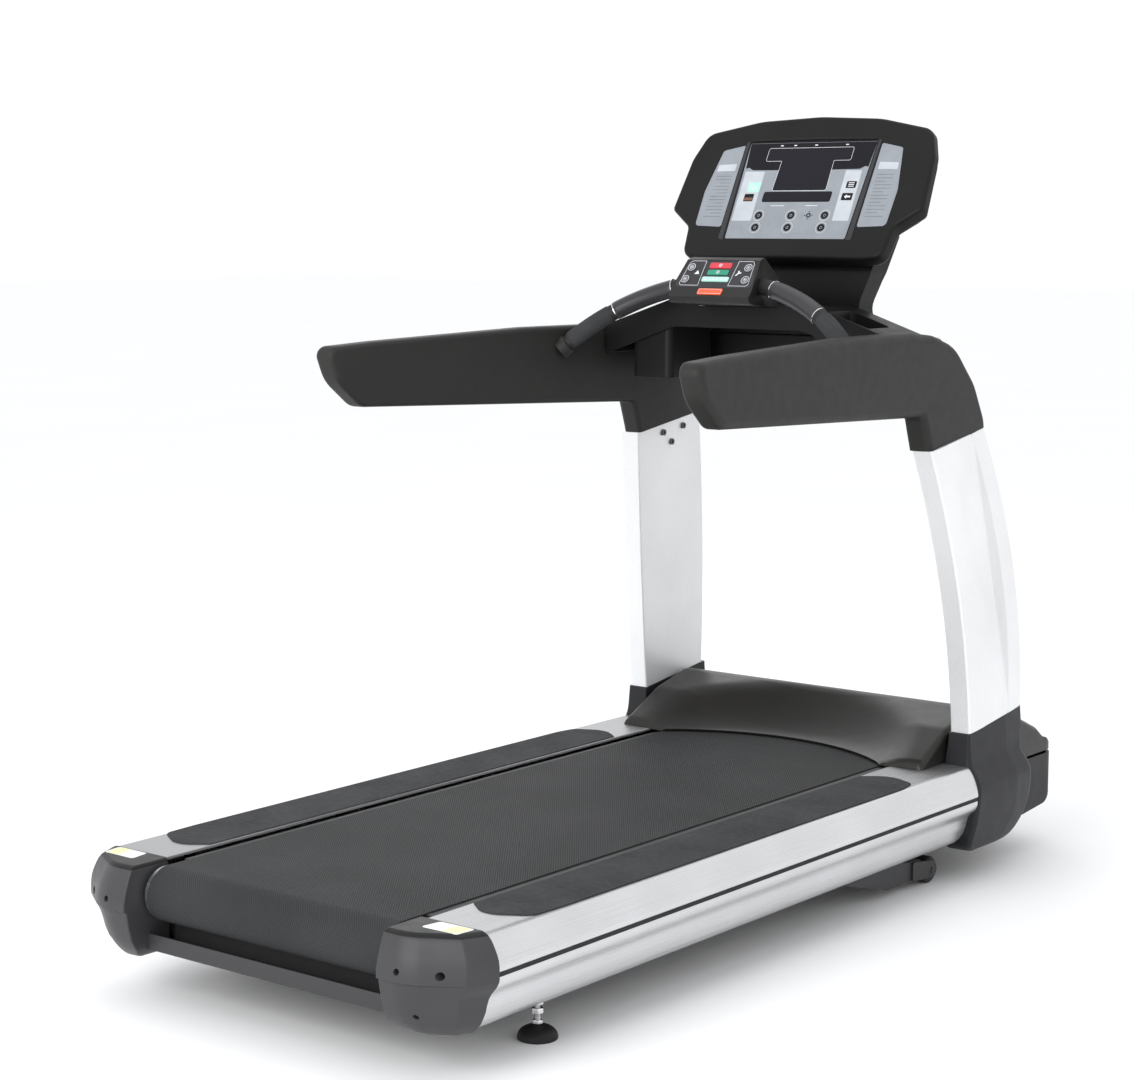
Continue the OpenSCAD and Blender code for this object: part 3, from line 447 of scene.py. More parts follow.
def plastic(name, colour, rough, grain=0.9, depth=0.05, coat=0.0, spread=0.12, worn=1.5,
            specular=0.28, top=None):
    """Moulded plastic: fine spark-eroded grain, slow change of tone and slightly polished edges.
    Above the height top, where one is given, the colour is darkened: painted shade on top faces."""
    f = Finish(name, rough, coat=coat, specular=specular)
    slow = f.noise(160, 2)
    base = f.blend(slow, shade(colour, 1 - spread), shade(colour, 1 + spread))
    edge = f.blend(f.edges(), 0.0, 1.0, 0.53, 0.66)
    base = f.mix(edge, base, shade(colour, worn))
    # Painted shade: above the height top the colour is darkened to stand in for the shade on top faces.
    if top:
        base = f.mix(f.above(top - 1, top), base, shade(colour, 0.12))
    f.colour(base)
    f.roughness(f.noise(28, 4), rough - 0.03, rough + 0.04)
    f.relief(f.noise(grain, 2), depth, 0.6)
    return f.mat


def rubber(name, colour, rough=0.8, grain=1.4, depth=0.12):
    """Moulded rubber: matt, with a fine grain."""
    f = Finish(name, rough, specular=0.22)
    slow, fine = f.math("MULTIPLY", f.noise(90, 3), 0.6), f.math("MULTIPLY", f.noise(grain, 2), 0.4)
    f.colour(f.blend(f.math("ADD", slow, fine), shade(colour, 0.75), shade(colour, 1.3)))
    f.roughness(f.noise(12, 3), rough - 0.08, rough + 0.08)
    f.relief(f.noise(grain, 3), depth, 0.8)
    return f.mat


def metal(name, colour, rough, metallic, along, grain, depth, coat=0.0, top=None):
    """Metal with drawn or brushed lines, along being how much each axis is stretched.
    Above the height top, where one is given, the colour is darkened: painted shade on top faces."""
    f = Finish(name, rough, metallic, coat=coat)
    lines = f.noise(grain, 4, along)
    slow = f.noise(220, 2)
    tone = f.math("ADD", f.math("MULTIPLY", lines, 0.45), f.math("MULTIPLY", slow, 0.55))
    base = f.blend(tone, shade(colour, 0.93), shade(colour, 1.05))
    # Painted shade: above the height top the colour is darkened to stand in for the shade on top faces.
    if top:
        base = f.mix(f.above(top - 2, top), base, shade(colour, 0.56))
    f.colour(base)
    f.roughness(lines, rough - 0.05, rough + 0.07)
    f.relief(lines, depth, 0.5)
    return f.mat


def printed(name, colour, rough=0.35, coat=0.3, specular=0.5):
    """Screen-printed film: slightly uneven ink under a satin coat."""
    f = Finish(name, rough, coat=coat, coat_rough=0.2, specular=specular)
    f.colour(f.blend(f.noise(35, 3), shade(colour, 0.94), shade(colour, 1.05)))
    f.roughness(f.noise(6, 2), rough - 0.04, rough + 0.05)
    f.relief(f.noise(1.1, 2), 0.02, 0.5)
    return f.mat


def belt_finish(name, colour, pitch):
    """Diamond weave of a running belt, in the belt's own length and width, with painted shade in its
    grooves.
    """
    f = Finish(name, 0.72, specular=0.15)
    ridges = []
    for turn in (math.radians(38), math.radians(-38)):
        ridges.append(f.node("TexWave", {"Scale": 1000 / pitch * WAVE_SCALE, "Distortion": 0.0,
                                         "Vector": f.mapped(turn=turn, source="UV")}).outputs["Fac"])
    weave = f.math("MAXIMUM", ridges[0], ridges[1])
    slow = f.noise(190, 3)
    base = f.blend(slow, shade(colour, 0.9), shade(colour, 1.1))
    # Painted shade: the colour is darkened in the grooves of the weave, where the relief is low.
    dark = f.blend(weave, 0.5, 1.0, 0.35, 0.9)
    f.colour(f.mix(1.0, base, dark, "MULTIPLY"))
    f.roughness(weave, 0.85, 0.6)
    f.relief(weave, 0.35, 1.0)
    f.relief(f.noise(1.0, 2), 0.04, 0.5)
    return f.mat


def smoked(name, colour):
    """Smoked window with the dots of an unlit display behind it."""
    f = Finish(name, 0.12, coat=0.1, coat_rough=0.04, specular=0.15)
    dots = f.node("TexVoronoi", {"Scale": 260, "Randomness": 0.0, "Vector": f.mapped()})
    f.colour(f.blend(dots.outputs["Distance"], shade(colour, 1.9), colour, 0.12, 0.3))
    f.roughness(f.noise(18, 3), 0.10, 0.18)
    return f.mat


DECK_Z = box_mm("side_rail_right")[1].z
CAP_TOP = box_mm("rear_cap_right")[1].z
FINISHES = {
    "frame_steel": metal("frame_powder_coat", (0.032, 0.032, 0.034), 0.5, 0.1, (1, 1, 1), 0.8, 0.04),
    # The rail's top face is darkened above the deck height: painted shade.
    "rail_aluminium": metal("rail_satin_aluminium", (0.66, 0.665, 0.675), 0.3, 0.78, (1, 0.006, 1), 1.6,
                            0.005, top=DECK_Z - 0.5),
    "upright_silver": metal("upright_silver_paint", (0.84, 0.85, 0.86), 0.36, 0.35, (1, 1, 0.02), 1.4,
                            0.01, coat=0.15),
    "trim_rubber": rubber("trim_black_rubber", (0.02, 0.02, 0.021), 0.6),
    "grip_rubber": rubber("grip_fine_rubber", (0.036, 0.0375, 0.039), 0.8, 1.6, 0.18),
    "belt_rubber": belt_finish("belt_diamond_weave", (0.038, 0.0393, 0.0405), 4.0),
    "shell_black": plastic("shell_black_plastic", (0.016, 0.0157, 0.015), 0.42, coat=0.05),
    "boot_black": plastic("boot_black_plastic", (0.015, 0.0155, 0.0175), 0.46),
    "deck_board": metal("deck_phenolic_board", (0.03, 0.03, 0.031), 0.55, 0.0, (1, 0.05, 1), 3.0, 0.03),
    "bright_steel": metal("turned_steel", (0.62, 0.62, 0.63), 0.28, 1.0, (0.02, 1, 1), 1.0, 0.01),
    "zinc_steel": metal("zinc_plate", (0.75, 0.75, 0.76), 0.2, 1.0, (1, 1, 1), 3.0, 0.01),
    "motor_paint": metal("motor_enamel", (0.12, 0.13, 0.145), 0.42, 0.2, (1, 1, 1), 1.2, 0.04),
    "heatsink": metal("heatsink_aluminium", (0.55, 0.56, 0.57), 0.38, 0.9, (0.05, 1, 1), 1.0, 0.02),
    "inlet_plastic": plastic("inlet_black_plastic", (0.02, 0.02, 0.02), 0.5),
    "wheel_nylon": plastic("wheel_black_nylon", (0.03, 0.03, 0.03), 0.55),
    "foot_rubber": rubber("foot_black_rubber", (0.016, 0.016, 0.017), 0.55, 1.2, 0.06),
    "panel_black": plastic("panel_black_film", (0.022, 0.022, 0.026), 0.3, 0.8, 0.02, coat=0.3),
    "overlay_silver": printed("overlay_silver_film", (0.262, 0.285, 0.317)),
    "display_smoke": smoked("display_smoked_acrylic", (0.009, 0.008, 0.014)),
    "sensor_plate": plastic("sensor_satin_plate", (0.035, 0.035, 0.038), 0.32, coat=0.2),
    "board_green": printed("board_solder_mask", (0.03, 0.14, 0.07)),
    "key_red": printed("key_red_ink", (0.62, 0.03, 0.05)),
    "key_green": printed("key_green_ink", (0.01, 0.27, 0.16)),
    "key_mint": printed("key_mint_ink", (0.42, 0.74, 0.64)),
    "key_grey": printed("key_grey_ink", (0.07, 0.07, 0.085)),
    "key_orange": printed("key_orange_ink", (0.85, 0.1, 0.03)),
}
# The cap's top face is darkened to 0.12 of its colour: painted shade.
CAP_GREY = plastic("cap_charcoal_plastic", (0.045, 0.045, 0.048), 0.42, 1.0, 0.06, spread=0.1,
                   specular=0.32, top=CAP_TOP - 6)
ARM_BLACK = plastic("arm_soft_black", (0.021, 0.0205, 0.0195), 0.55, 1.2, 0.09, spread=0.06, worn=1.25)
HOOD_BLACK = plastic("hood_black_plastic", (0.016, 0.0152, 0.0138), 0.36, 0.9, 0.03, coat=0.08)
CONSOLE_PLASTIC = plastic("console_black_plastic", (0.0095, 0.0095, 0.01), 0.42, 0.9, 0.04, specular=0.17)
SCREW_BLACK = metal("screw_black_steel", (0.09, 0.09, 0.095), 0.35, 0.7, (1, 1, 1), 2.0, 0.01)
INK_WHITE = printed("ink_white", (0.78, 0.8, 0.83))
INK_BLACK = printed("ink_black", (0.009, 0.009, 0.012), 0.3, coat=0.0, specular=0.15)
INK_GREY = printed("ink_grey", (0.13, 0.14, 0.16))
INK_PALE = printed("ink_pale_grey", (0.50, 0.53, 0.57))
INK_BROWN = printed("ink_brown", (0.16, 0.07, 0.04))
CONSOLE_LOOK, PRINT = (CONSOLE_PLASTIC, "shell_black"), (INK_WHITE, "overlay_silver")
LABEL_YELLOW = printed("label_pale_yellow", (0.72, 0.78, 0.36))

# --------------- rails, strips and pads

rail_lo, rail_hi = box_mm("side_rail_right")
RAIL_IN, RAIL_HALF = rail_lo.x, rail_hi.x
CAP_FRONT, RAIL_FRONT = rail_lo.y, rail_hi.y
RAIL_WALL = 5
# The outer skin of the rail: (inwards, drop) above its groove and (inwards, height) below it.
SHOULDER = [(40, 0), (31, 0.3), (22, 4), (12, 18), (5, 34), (1, 48), (0, 57)]
FLANK = [(1, 182), (2, 173), (7, 163), (17, 154), (23, 145), (26, 134), (30, 120), (39, 102), (52, 89),
         (61, 84)]
GROOVE_TOP = 192.2

upper_skin = curve_through([(RAIL_HALF - inward, DECK_Z - drop) for inward, drop in SHOULDER]
                           + [(RAIL_HALF, GROOVE_TOP)], 4)
lower_skin = curve_through([(RAIL_HALF - inward, z) for inward, z in FLANK], 4)
groove = [(RAIL_HALF - 1, 191), (RAIL_HALF - 3, 191), (RAIL_HALF - 3, 183), (RAIL_HALF - 1, 183)]
rail_outer = [(RAIL_IN, DECK_Z - 1), (RAIL_IN + 1, DECK_Z)] + upper_skin + groove + lower_skin
rail_inner = [(x - RAIL_WALL, min(z, DECK_Z - RAIL_WALL)) for x, z in reversed(upper_skin + lower_skin)]
rail_section = rail_outer + rail_inner + [(RAIL_IN, DECK_Z - RAIL_WALL)]
rail = loft([[(x, y, z) for x, z in rail_section] for y in (CAP_FRONT, RAIL_FRONT)])
for side, s in SIDES:
    make("rail_" + side, on_side(s, rail), "rail_aluminium",
         stands_for=["side_rail_" + side], sharp=30)

pad_lo, pad_hi = box_mm("grip_pads")
PAD_T = pad_hi.z - DECK_Z
pad_rear, pad_front, pad_out = pad_lo.y, pad_hi.y, pad_hi.x
pad_outline = rounded([
    (RAIL_IN + 3, pad_rear + 40, 4), (RAIL_IN + 55, pad_rear, 60), (pad_out - 3, pad_rear + 44, 26),
    (pad_out, pad_rear + 118, 50), (pad_out, pad_front - 82, 50), (pad_out - 7, pad_front - 32, 26),
    (RAIL_IN + 55, pad_front, 60), (RAIL_IN + 3, pad_front - 40, 4)], 10)
pad = slab(pad_outline, edge_profile(PAD_T, 0, 1.2, 3), lambda a, b, d: (a, b, DECK_Z + d))
make("grip_pad_pair", both(pad), "grip_rubber", stands_for=["grip_pads"])

# --------------- rear caps

cap_lo = box_mm("rear_cap_right")[0]
REAR_Y, CAP_IN, CAP_LOW = cap_lo.y, cap_lo.x, cap_lo.z
# Skins of a cap: the x or y of each side at some heights.
cap_out = [(CAP_LOW, 395), (82, 413), (98, 429), (118, 439), (142, 445), (153, 452), (166, 463),
           (176, 468.5), (182, 469), (205, 469), (216, 466), (231, 459), (242, 452), (249, 445),
           (252.5, 438), (CAP_TOP, 432)]
cap_rear = [(CAP_LOW, -982), (82, -996), (90, -1008), (104, -1022), (120, -1032), (145, -1038.5),
            (173.5, -1043.5), (176.5, -1049), (190, -1048.5), (210, -1044), (235, -1035), (246, -1030),
            (251.5, -1025), (CAP_TOP, -1019)]
cap_inner = [(CAP_LOW, 330), (80, 322), (92, 307), (104, 299), (112, CAP_IN), (249, CAP_IN),
             (252.5, CAP_IN + 1.5), (CAP_TOP, CAP_IN + 5)]
cap_levels = [CAP_LOW, 79, 82, 86, 92, 98, 104, 112, 120, 132, 145, 153, 160, 166, 171, 173.5, 176.5, 182,
              190, 200, 210, 218, 226, 235, 242, 246, 249, 251.5, 253, CAP_TOP]


def cap_ring(z):
    inner, outer, rear = at_value(cap_inner, z), at_value(cap_out, z), at_value(cap_rear, z)
    deep = (CAP_FRONT - rear) / (CAP_FRONT - REAR_Y)
    return [(x, y, z) for x, y in rounded([
        (inner, CAP_FRONT - 0.3, 0.5), (inner, rear + 3, 3), (inner + 62 * deep, rear, 120 * deep),
        (outer - 25 * deep, rear + 56 * deep, 9), (outer, CAP_FRONT - 0.3, 0.5)], 7)]


cap_body = loft([cap_ring(z) for z in cap_levels])
holes = [((CAP_IN + 45, 194), 5.5, 20), ((RAIL_HALF - 58, 192), 7, 52), ((CAP_IN + 64, 118), 4.5, 30)]
cap_body = cut(cap_body, [lathe([(r, 0), (r, deep + 20)], (x, REAR_Y - 12, z), (0, 1, 0), 24)
                          for (x, z), r, deep in holes], "cap")
cap_label = rounded([(341, -985, 6), (416, -983, 6), (421, -943, 6), (348, -944, 6)], 5)
for side, s in SIDES:
    make("cap_" + side, on_side(s, cap_body), (CAP_GREY, "boot_black"), stands_for=["rear_cap_" + side],
         sharp=34)
    make("cap_label_" + side,
         on_side(s, slab(cap_label, [(0, -0.4), (0, 0.25)], lambda a, b, d: (a, b, CAP_TOP + d))),
         PRINT)
    tone = rounded([(381, -982, 2), (413, -981, 5), (418, -945, 5), (386, -946, 2)], 4)
    make("cap_label_tone_" + side,
         on_side(s, slab(tone, [(0, 0), (0, 0.4)], lambda a, b, d: (a, b, CAP_TOP + d))),
         (LABEL_YELLOW, "overlay_silver"))
    screws = [lathe([(3.4, 0), (3.4, 3), (2.6, 4), (0.1, 4)], (x, REAR_Y + deep + 6, z), (0, -1, 0), 24)
              for (x, z), r, deep in holes[:2]]
    make("cap_screws_" + side, on_side(s, joined(screws)), "zinc_steel")

# --------------- running belt

belt_hi = box_mm("running_belt")[1]
roller_lo, roller_hi = box_mm("rear_roller")
front_lo, front_hi = box_mm("front_roller")
BELT_T, ARC_STEPS = 2.5, 28
belt_path = []
for lo, hi, a0 in ((roller_lo, roller_hi, 90), (front_lo, front_hi, 270)):
    centre = (lo + hi) / 2
    for k in range(ARC_STEPS + 1):
        a = math.radians(a0 + 180 * k / ARC_STEPS)
        belt_path.append((centre, belt_hi.z - centre.z, math.cos(a), math.sin(a)))
belt_path.append(belt_path[0])
half_w = belt_hi.x
section = [(-half_w, BELT_T), (-half_w, 0.7), (-half_w + 0.7, 0), (half_w - 0.7, 0), (half_w, 0.7),
           (half_w, BELT_T)]
rings, uv, run = [], [], 0.0
spot = None
for centre, r, c, sn in belt_path:
    before, spot = spot, (centre.y + c * r, centre.z + sn * r)
    run += math.dist(before, spot) if before else 0
    rings.append([(x, centre.y + c * (r - d), centre.z + sn * (r - d)) for x, d in section])
    uv += [(x, run) for x, d in section]
make("belt_weave", loft(rings, caps=False), "belt_rubber", stands_for=["running_belt"],
     sharp=40, uv=uv)

# --------------- levelling feet

THREAD_PITCH = 1.75
for side, s in SIDES:
    lo, hi = box_mm("levelling_foot_" + side)
    c = ((lo.x + hi.x) / 2, (lo.y + hi.y) / 2, 0)
    r = (hi.x - lo.x) / 2
    dome = [(0.1, 0), (r - 1.5, 0), (r, 1), (r, 4)]
    dome += [(r * math.cos(math.radians(a)) ** 0.9, 4 + 20.5 * math.sin(math.radians(a)))
             for a in range(8, 80, 8)]
    make("foot_pad_" + side, lathe(dome + [(8, 24.8), (0.1, 24.8)], c), "foot_rubber",
         "foot_" + side, ["levelling_foot_" + side])
    thread = []
    for k in range(int((hi.z - 62) / THREAD_PITCH)):
        thread += [(6.0, 26 + THREAD_PITCH * k), (5.3, 26.9 + THREAD_PITCH * k)]
    stud = lathe([(0.1, 24)] + thread + [(5.2, hi.z - 34), (6, hi.z - 33), (6, hi.z), (0.1, hi.z)], c, n=24)
    nuts = []
    for z0, h, size in ((26, 7, 9.5), (44, 10, 11), (60, 10, 11)):
        ring = [(c[0] + x, c[1] + y) for x, y in (polar(size, 60 * k + 12) for k in range(6))]
        nuts.append(slab(ring, edge_profile(h, 1.2, 1.2, 2), lambda a, b, d, z0=z0: (a, b, z0 + d)))
    make("foot_stud_" + side, joined([stud] + nuts), "zinc_steel", "foot_" + side)

# --------------- hood

hood_lo, hood_hi = box_mm("motor_hood")
HOOD_LOW, HOOD_RIM, FRONT_Y = hood_lo.z, hood_hi.z, hood_hi.y
# The ramp of the hood: its inner and outer radius and its centre.
SCOOP_R, SCOOP_RIM = 437, 560
SCOOP_Y = 610 - SCOOP_R
WING_Y, RIM_R, HOOD_COLUMNS = hood_lo.y, 14, 44
hood_line = rounded([(WING_Y, DECK_Z + 1, 0), (WING_Y + 7, DECK_Z + 14, 6), (620, 320, 90),
                     (735, HOOD_RIM + 1.5, 60), (845, 322, 90), (FRONT_Y - 86, 272, 60),
                     (FRONT_Y - 26, 228, 24), (FRONT_Y, HOOD_LOW + 6, 5), (FRONT_Y - 1, HOOD_LOW, 0)], 8)
hood_nose = rounded([(408, 866, 2), (407, FRONT_Y - 8, 36), (250, FRONT_Y, 200), (0, FRONT_Y, 0)], 10)
hood_edge = [(WING_Y, 383.5), (846, 383.5), (851, 386), (858, 405)] + [(y, x) for x, y in hood_nose[:-1]]


def hood_height(y):
    """Height of the middle line of the hood."""
    return at_value(hood_line[:-1], y)


def scoop_height(x, y):
    """Height of the round concave ramp above the belt."""
    t = max(0.0, (math.hypot(x, y - SCOOP_Y) - SCOOP_R) / (SCOOP_RIM - SCOOP_R))
    return DECK_Z + 2 + (HOOD_RIM - DECK_Z - 2) * (t ** 1.35 if t < 1 else 1 + 1.35 * (t - 1))


def soft_min(a, b, k):
    """The smaller value, with a smooth change over within k."""
    h = max(0.0, k - abs(a - b)) / k
    return min(a, b) - h * h * k / 4


def hood_half(y):
    return at_value(hood_edge, y)


def hood_row(y, x0, z_line):
    """One row of the right half of the hood, from x0 to the side, then down the skirt."""
    half = hood_half(y)
    row = []
    for i in range(HOOD_COLUMNS + 1):
        u = i / HOOD_COLUMNS
        x = x0 + (half - x0) * (1 - (1 - u) ** 1.6)
        z = soft_min(z_line, scoop_height(x, y), 16)
        edge = max(0.0, RIM_R - (half - x))
        z -= RIM_R - math.sqrt(max(0.0, RIM_R ** 2 - edge ** 2)) if z - HOOD_LOW > 30 else 0
        row.append((x, y, z))
    base = HOOD_LOW if y > RAIL_FRONT + 2 else DECK_Z + 0.5
    row.append((half, y, min(base, row[-1][2])))
    return row


rows = []
for k in range(25):
    a = math.radians(41.8) * (1 - k / 24)
    y = SCOOP_Y + SCOOP_R * math.cos(a)
    if y > WING_Y + 0.5:
        rows.append(hood_row(y, SCOOP_R * math.sin(a), hood_height(y)))
rear_rows = [hood_row(WING_Y + dy, 294, DECK_Z + up) for dy, up in ((0, 1), (1.5, 8), (5, 13))]
front_rows = [(y, z) for y, z in hood_line if y > 613]
filled = []
for (y0, z0), (y1, z1) in zip([(610, hood_height(610))] + front_rows, front_rows):
    n = max(1, math.ceil(math.dist((y0, z0), (y1, z1)) / (12 if y0 < FRONT_Y - 60 else 5)))
    filled += [(y0 + (y1 - y0) * k / n, z0 + (z1 - z0) * k / n) for k in range(1, n + 1)]
rows = rear_rows + rows + [hood_row(y, 0, z) for y, z in filled]
n = len(rows[0])
verts = [p for row in rows for p in row]
faces = [(r * n + i, r * n + i + 1, (r + 1) * n + i + 1, (r + 1) * n + i)
         for r in range(len(rows) - 1) for i in range(n - 1)]
hood = make("hood_shell", both((verts, faces)), (HOOD_BLACK, "shell_black"),
            stands_for=["motor_hood"], sharp=50)
skin = hood.modifiers.new("wall", "SOLIDIFY")
skin.thickness, skin.offset = 3 * MM, -1

refine("front_bumper", (FINISHES["boot_black"], "shell_black"), 3, 3)
refine("belly_pan", "shell_black", 0.8, 1)

# --------------- uprights, boots and handrails

# (y, z) of both ends of an upright's two seams, with its boot and with its arm.
SEAM_REAR, SEAM_FRONT = Vector((605, 318)), Vector((821, 347))
TOP_REAR, TOP_FRONT = Vector((508, 908)), Vector((731, 943))
UPRIGHT_X, UPRIGHT_T = 416.5, 46


def upright_mid(z):
    """How far out the middle of the upright is: it leans in towards its top."""
    return UPRIGHT_X - 0.0001408 * (z - 330) ** 2


def bowed(a, b, depth, n=26, over=0.06):
    """A bowed line from a to b, run on a little past both."""
    out = []
    for k in range(n + 1):
        t = -over + (1 + 2 * over) * k / n
        out.append((a.x + (b.x - a.x) * t + depth * 4 * t * (1 - t), a.y + (b.y - a.y) * t))
    return out


def across(a, b):
    """Normal, in the Y-Z plane, of the line from a to b, pointing down."""
    d = (b - a).normalized()
    return Vector((0, d.y, -d.x))


upright_loop = bowed(SEAM_REAR, TOP_REAR, 13) + bowed(SEAM_FRONT, TOP_FRONT, 27)[::-1]
steps = edge_profile(UPRIGHT_T, 3.5, 5, 4)
steps += [(16, UPRIGHT_T + 0.9), (34, UPRIGHT_T + 1.9), (60, UPRIGHT_T + 2.6)]
upright = slab(upright_loop, steps, lambda a, b, d: (upright_mid(b) - UPRIGHT_T / 2 + d, a, b))
upright = sliced(upright, (0, SEAM_REAR.x, SEAM_REAR.y + 0.4), across(SEAM_REAR, SEAM_FRONT))
upright = sliced(upright, (0, TOP_REAR.x, TOP_REAR.y - 0.3), -across(TOP_REAR, TOP_FRONT))

boot_lo, boot_hi = box_mm("boot_right")
BOOT_IN, BOOT_OUT, BOOT_LOW = boot_lo.x, boot_hi.x, boot_lo.z
# Skins of a boot, like those of a cap.
boot_out = [(BOOT_LOW, 424), (66, 436), (75, 444), (88, 450), (110, 457), (135, 463), (160, 467),
            (185, 469.5), (205, BOOT_OUT), (220, 467.5), (235, 459), (250, 448.5), (262, 445), (280, 443.5),
            (315, 442.5), (380, 440)]
boot_rear = [(BOOT_LOW, 640), (66, 622), (74, 608), (84, 599), (96, 595), (250, 595), (262, 596.5),
             (317, 601), (380, 599)]
boot_front = [(BOOT_LOW, 772), (66, 790), (76, 806), (92, 823), (115, 838), (145, 846), (175, 848),
              (215, 846.5), (260, 841), (300, 836), (345, 832), (380, 830)]
boot_levels = [BOOT_LOW, 64, 67, 71, 76, 82, 88, 96, 105, 116, 130, 145, 160, 175, 190, 205, 216, 228, 240,
               250, 258, 267, 278, 290, 305, 320, 340, 360, 380]


def boot_ring(z):
    inner, outer = BOOT_IN, at_value(boot_out, z)
    rear, front = at_value(boot_rear, z), at_value(boot_front, z)
    top = at_value([(250, 0), (300, 1)], z)
    inner += 6.5 * top
    return [(x, y, z) for x, y in rounded([
        (inner, rear, 3), (outer - 2 * top, rear, 10 - 4 * top), (outer, rear * 0.65 + front * 0.35, 60),
        (outer, rear * 0.35 + front * 0.65, 60), (outer - 6, front, 30 - 20 * top), (inner, front, 4)], 7)]


boot = sliced(loft([boot_ring(z) for z in boot_levels]), (0, SEAM_REAR.x, SEAM_REAR.y - 0.3),
              -across(SEAM_REAR, SEAM_FRONT))

ARM_T = 50
# The arm turns outwards by SPLAY behind HINGE. Its elbow stands ELBOW_X from the middle.
HINGE = Vector((362, 500))
SPLAY = math.radians(4.7)
ELBOW_X = 364
ARM_TOP = 1150
arm_loop = rounded([(-404, 1129, 20), (-272, 1136, 200), (150, ARM_TOP, 300), (440, ARM_TOP, 200),
                    (530, 1141, 120), (612, 1116, 120), (693, 1037, 120), (735, 963, 60), (739, 941, 60),
                    (732, 880, 0), (510, 866, 0), (506, 908, 90), (482, 978, 14), (-314, 1009, 36),
                    (-377, 1060, 80)], 9)
arm_loop = dense(arm_loop, 14)


def arm_place(y, z, d):
    """Arm skin: straight down the elbow, splayed outwards towards the runner."""
    off = d - ARM_T / 2
    back = HINGE.y - y
    if back <= -20:
        x, yy = ELBOW_X + off, y
    else:
        ease = min(1.0, (back + 20) / 40)
        reach = back if back > 20 else (back + 20) ** 2 / 80
        x, yy = ELBOW_X - 2 * ease + math.sin(SPLAY) * reach + off, y + (1 - math.cos(SPLAY)) * max(0, back)
    return x, yy, z


arm = slab(arm_loop, edge_profile(ARM_T, 10, 17, 7), arm_place)
arm = sliced(arm, (0, TOP_REAR.x, TOP_REAR.y + 0.3), across(TOP_REAR, TOP_FRONT))

for side, s in SIDES:
    make("upright_" + side + "_skin", on_side(s, upright), "upright_silver",
         stands_for=["upright_" + side], sharp=40)
    make("boot_" + side + "_skin", on_side(s, boot), "boot_black",
         stands_for=["boot_" + side], sharp=44)
    make("arm_" + side, on_side(s, arm), (ARM_BLACK, "shell_black"), stands_for=["handrail_" + side],
         sharp=46)

refine("upright_bolts", (SCREW_BLACK, "zinc_steel"), 0.6, 2)
refine("crossbar", CONSOLE_LOOK, 3, 3)
refine("accessory_tray", CONSOLE_LOOK, 2.5, 3)
refine("console_neck", CONSOLE_LOOK, 5, 4)

# --------------- activity zone

ACTIVITY_AT, ACTIVITY_LEAN = (290, 1234), math.radians(37.5)
CONSOLE_AT, CONSOLE_LEAN = (535, 1303), math.radians(28.8)


def on_plane(at, lean):
    """place(u, v, depth) on a panel that leans back from upright."""
    cs, sn = math.cos(lean), math.sin(lean)
    return lambda u, v, d: (u, at[0] + v * sn - d * cs, at[1] + v * cs + d * sn)


on_activity = on_plane(ACTIVITY_AT, ACTIVITY_LEAN)
on_console = on_plane(CONSOLE_AT, CONSOLE_LEAN)
refine("activity_housing", "shell_black", 4, 4)
refine("activity_panel", "panel_black", 0.3, 1)

# How far a key stands up, how thick print is, and the corner radius that means a circle.
KEY_UP = 1.6
INK_T = 0.2
ROUND = 9.9


def pad_loop(u, v, w, h, r):
    """A rounded rectangle about (u, v), or a circle where r is ROUND."""
    if r == ROUND:
        return [(u + x, v + y) for x, y in (polar(w / 2, a) for a in range(0, 360, 8))]
    return rounded([(u - w / 2, v - h / 2, r), (u + w / 2, v - h / 2, r), (u + w / 2, v + h / 2, r),
                    (u - w / 2, v + h / 2, r)], 4)


def band(loop, width, z0, z1, place):
    """A printed line of some width along the inside of an outline, with a little thickness."""
    outer, inner = loop, inset(loop, width)
    rings = [[place(a, b, z0) for a, b in outer], [place(a, b, z1) for a, b in outer],
             [place(a, b, z1) for a, b in inner], [place(a, b, z0) for a, b in inner]]
    return loft(rings, closed=True)


def inked(place, z0, z1, shapes):
    """Printed shapes as one piece. An outline is filled; an (outline, width) pair is drawn as a line."""
    return joined([band(*shape, z0, z1, place) if isinstance(shape, tuple)
                   else slab(shape, [(0, z0), (0, z1)], place) for shape in shapes])


# Middle, width, height, corner radius and slot of each key.
KEYS = {
    "stop_key": (0, 57, 54, 14, 3, "key_red"), "go_key": (0, 40, 52, 13, 3, "key_green"),
    "cool_down_key": (0, 23, 66, 12, 3, "key_mint"),
    "incline_up_key": (-70, 52, 20, 20, ROUND, "key_grey"),
    "incline_down_key": (-74, 22, 20, 20, ROUND, "key_grey"),
    "speed_up_key": (70, 52, 20, 20, ROUND, "key_grey"),
    "speed_down_key": (74, 22, 20, 20, ROUND, "key_grey"),
    "emergency_stop_key": (0, -8, 60, 15, 3, "key_orange"),
}


def arrow(u, v, size, up):
    """A triangle about (u, v) that points up or down."""
    k = size if up else -size
    return [(u - size, v - k * 0.55), (u + size, v - k * 0.55), (u, v + k)]


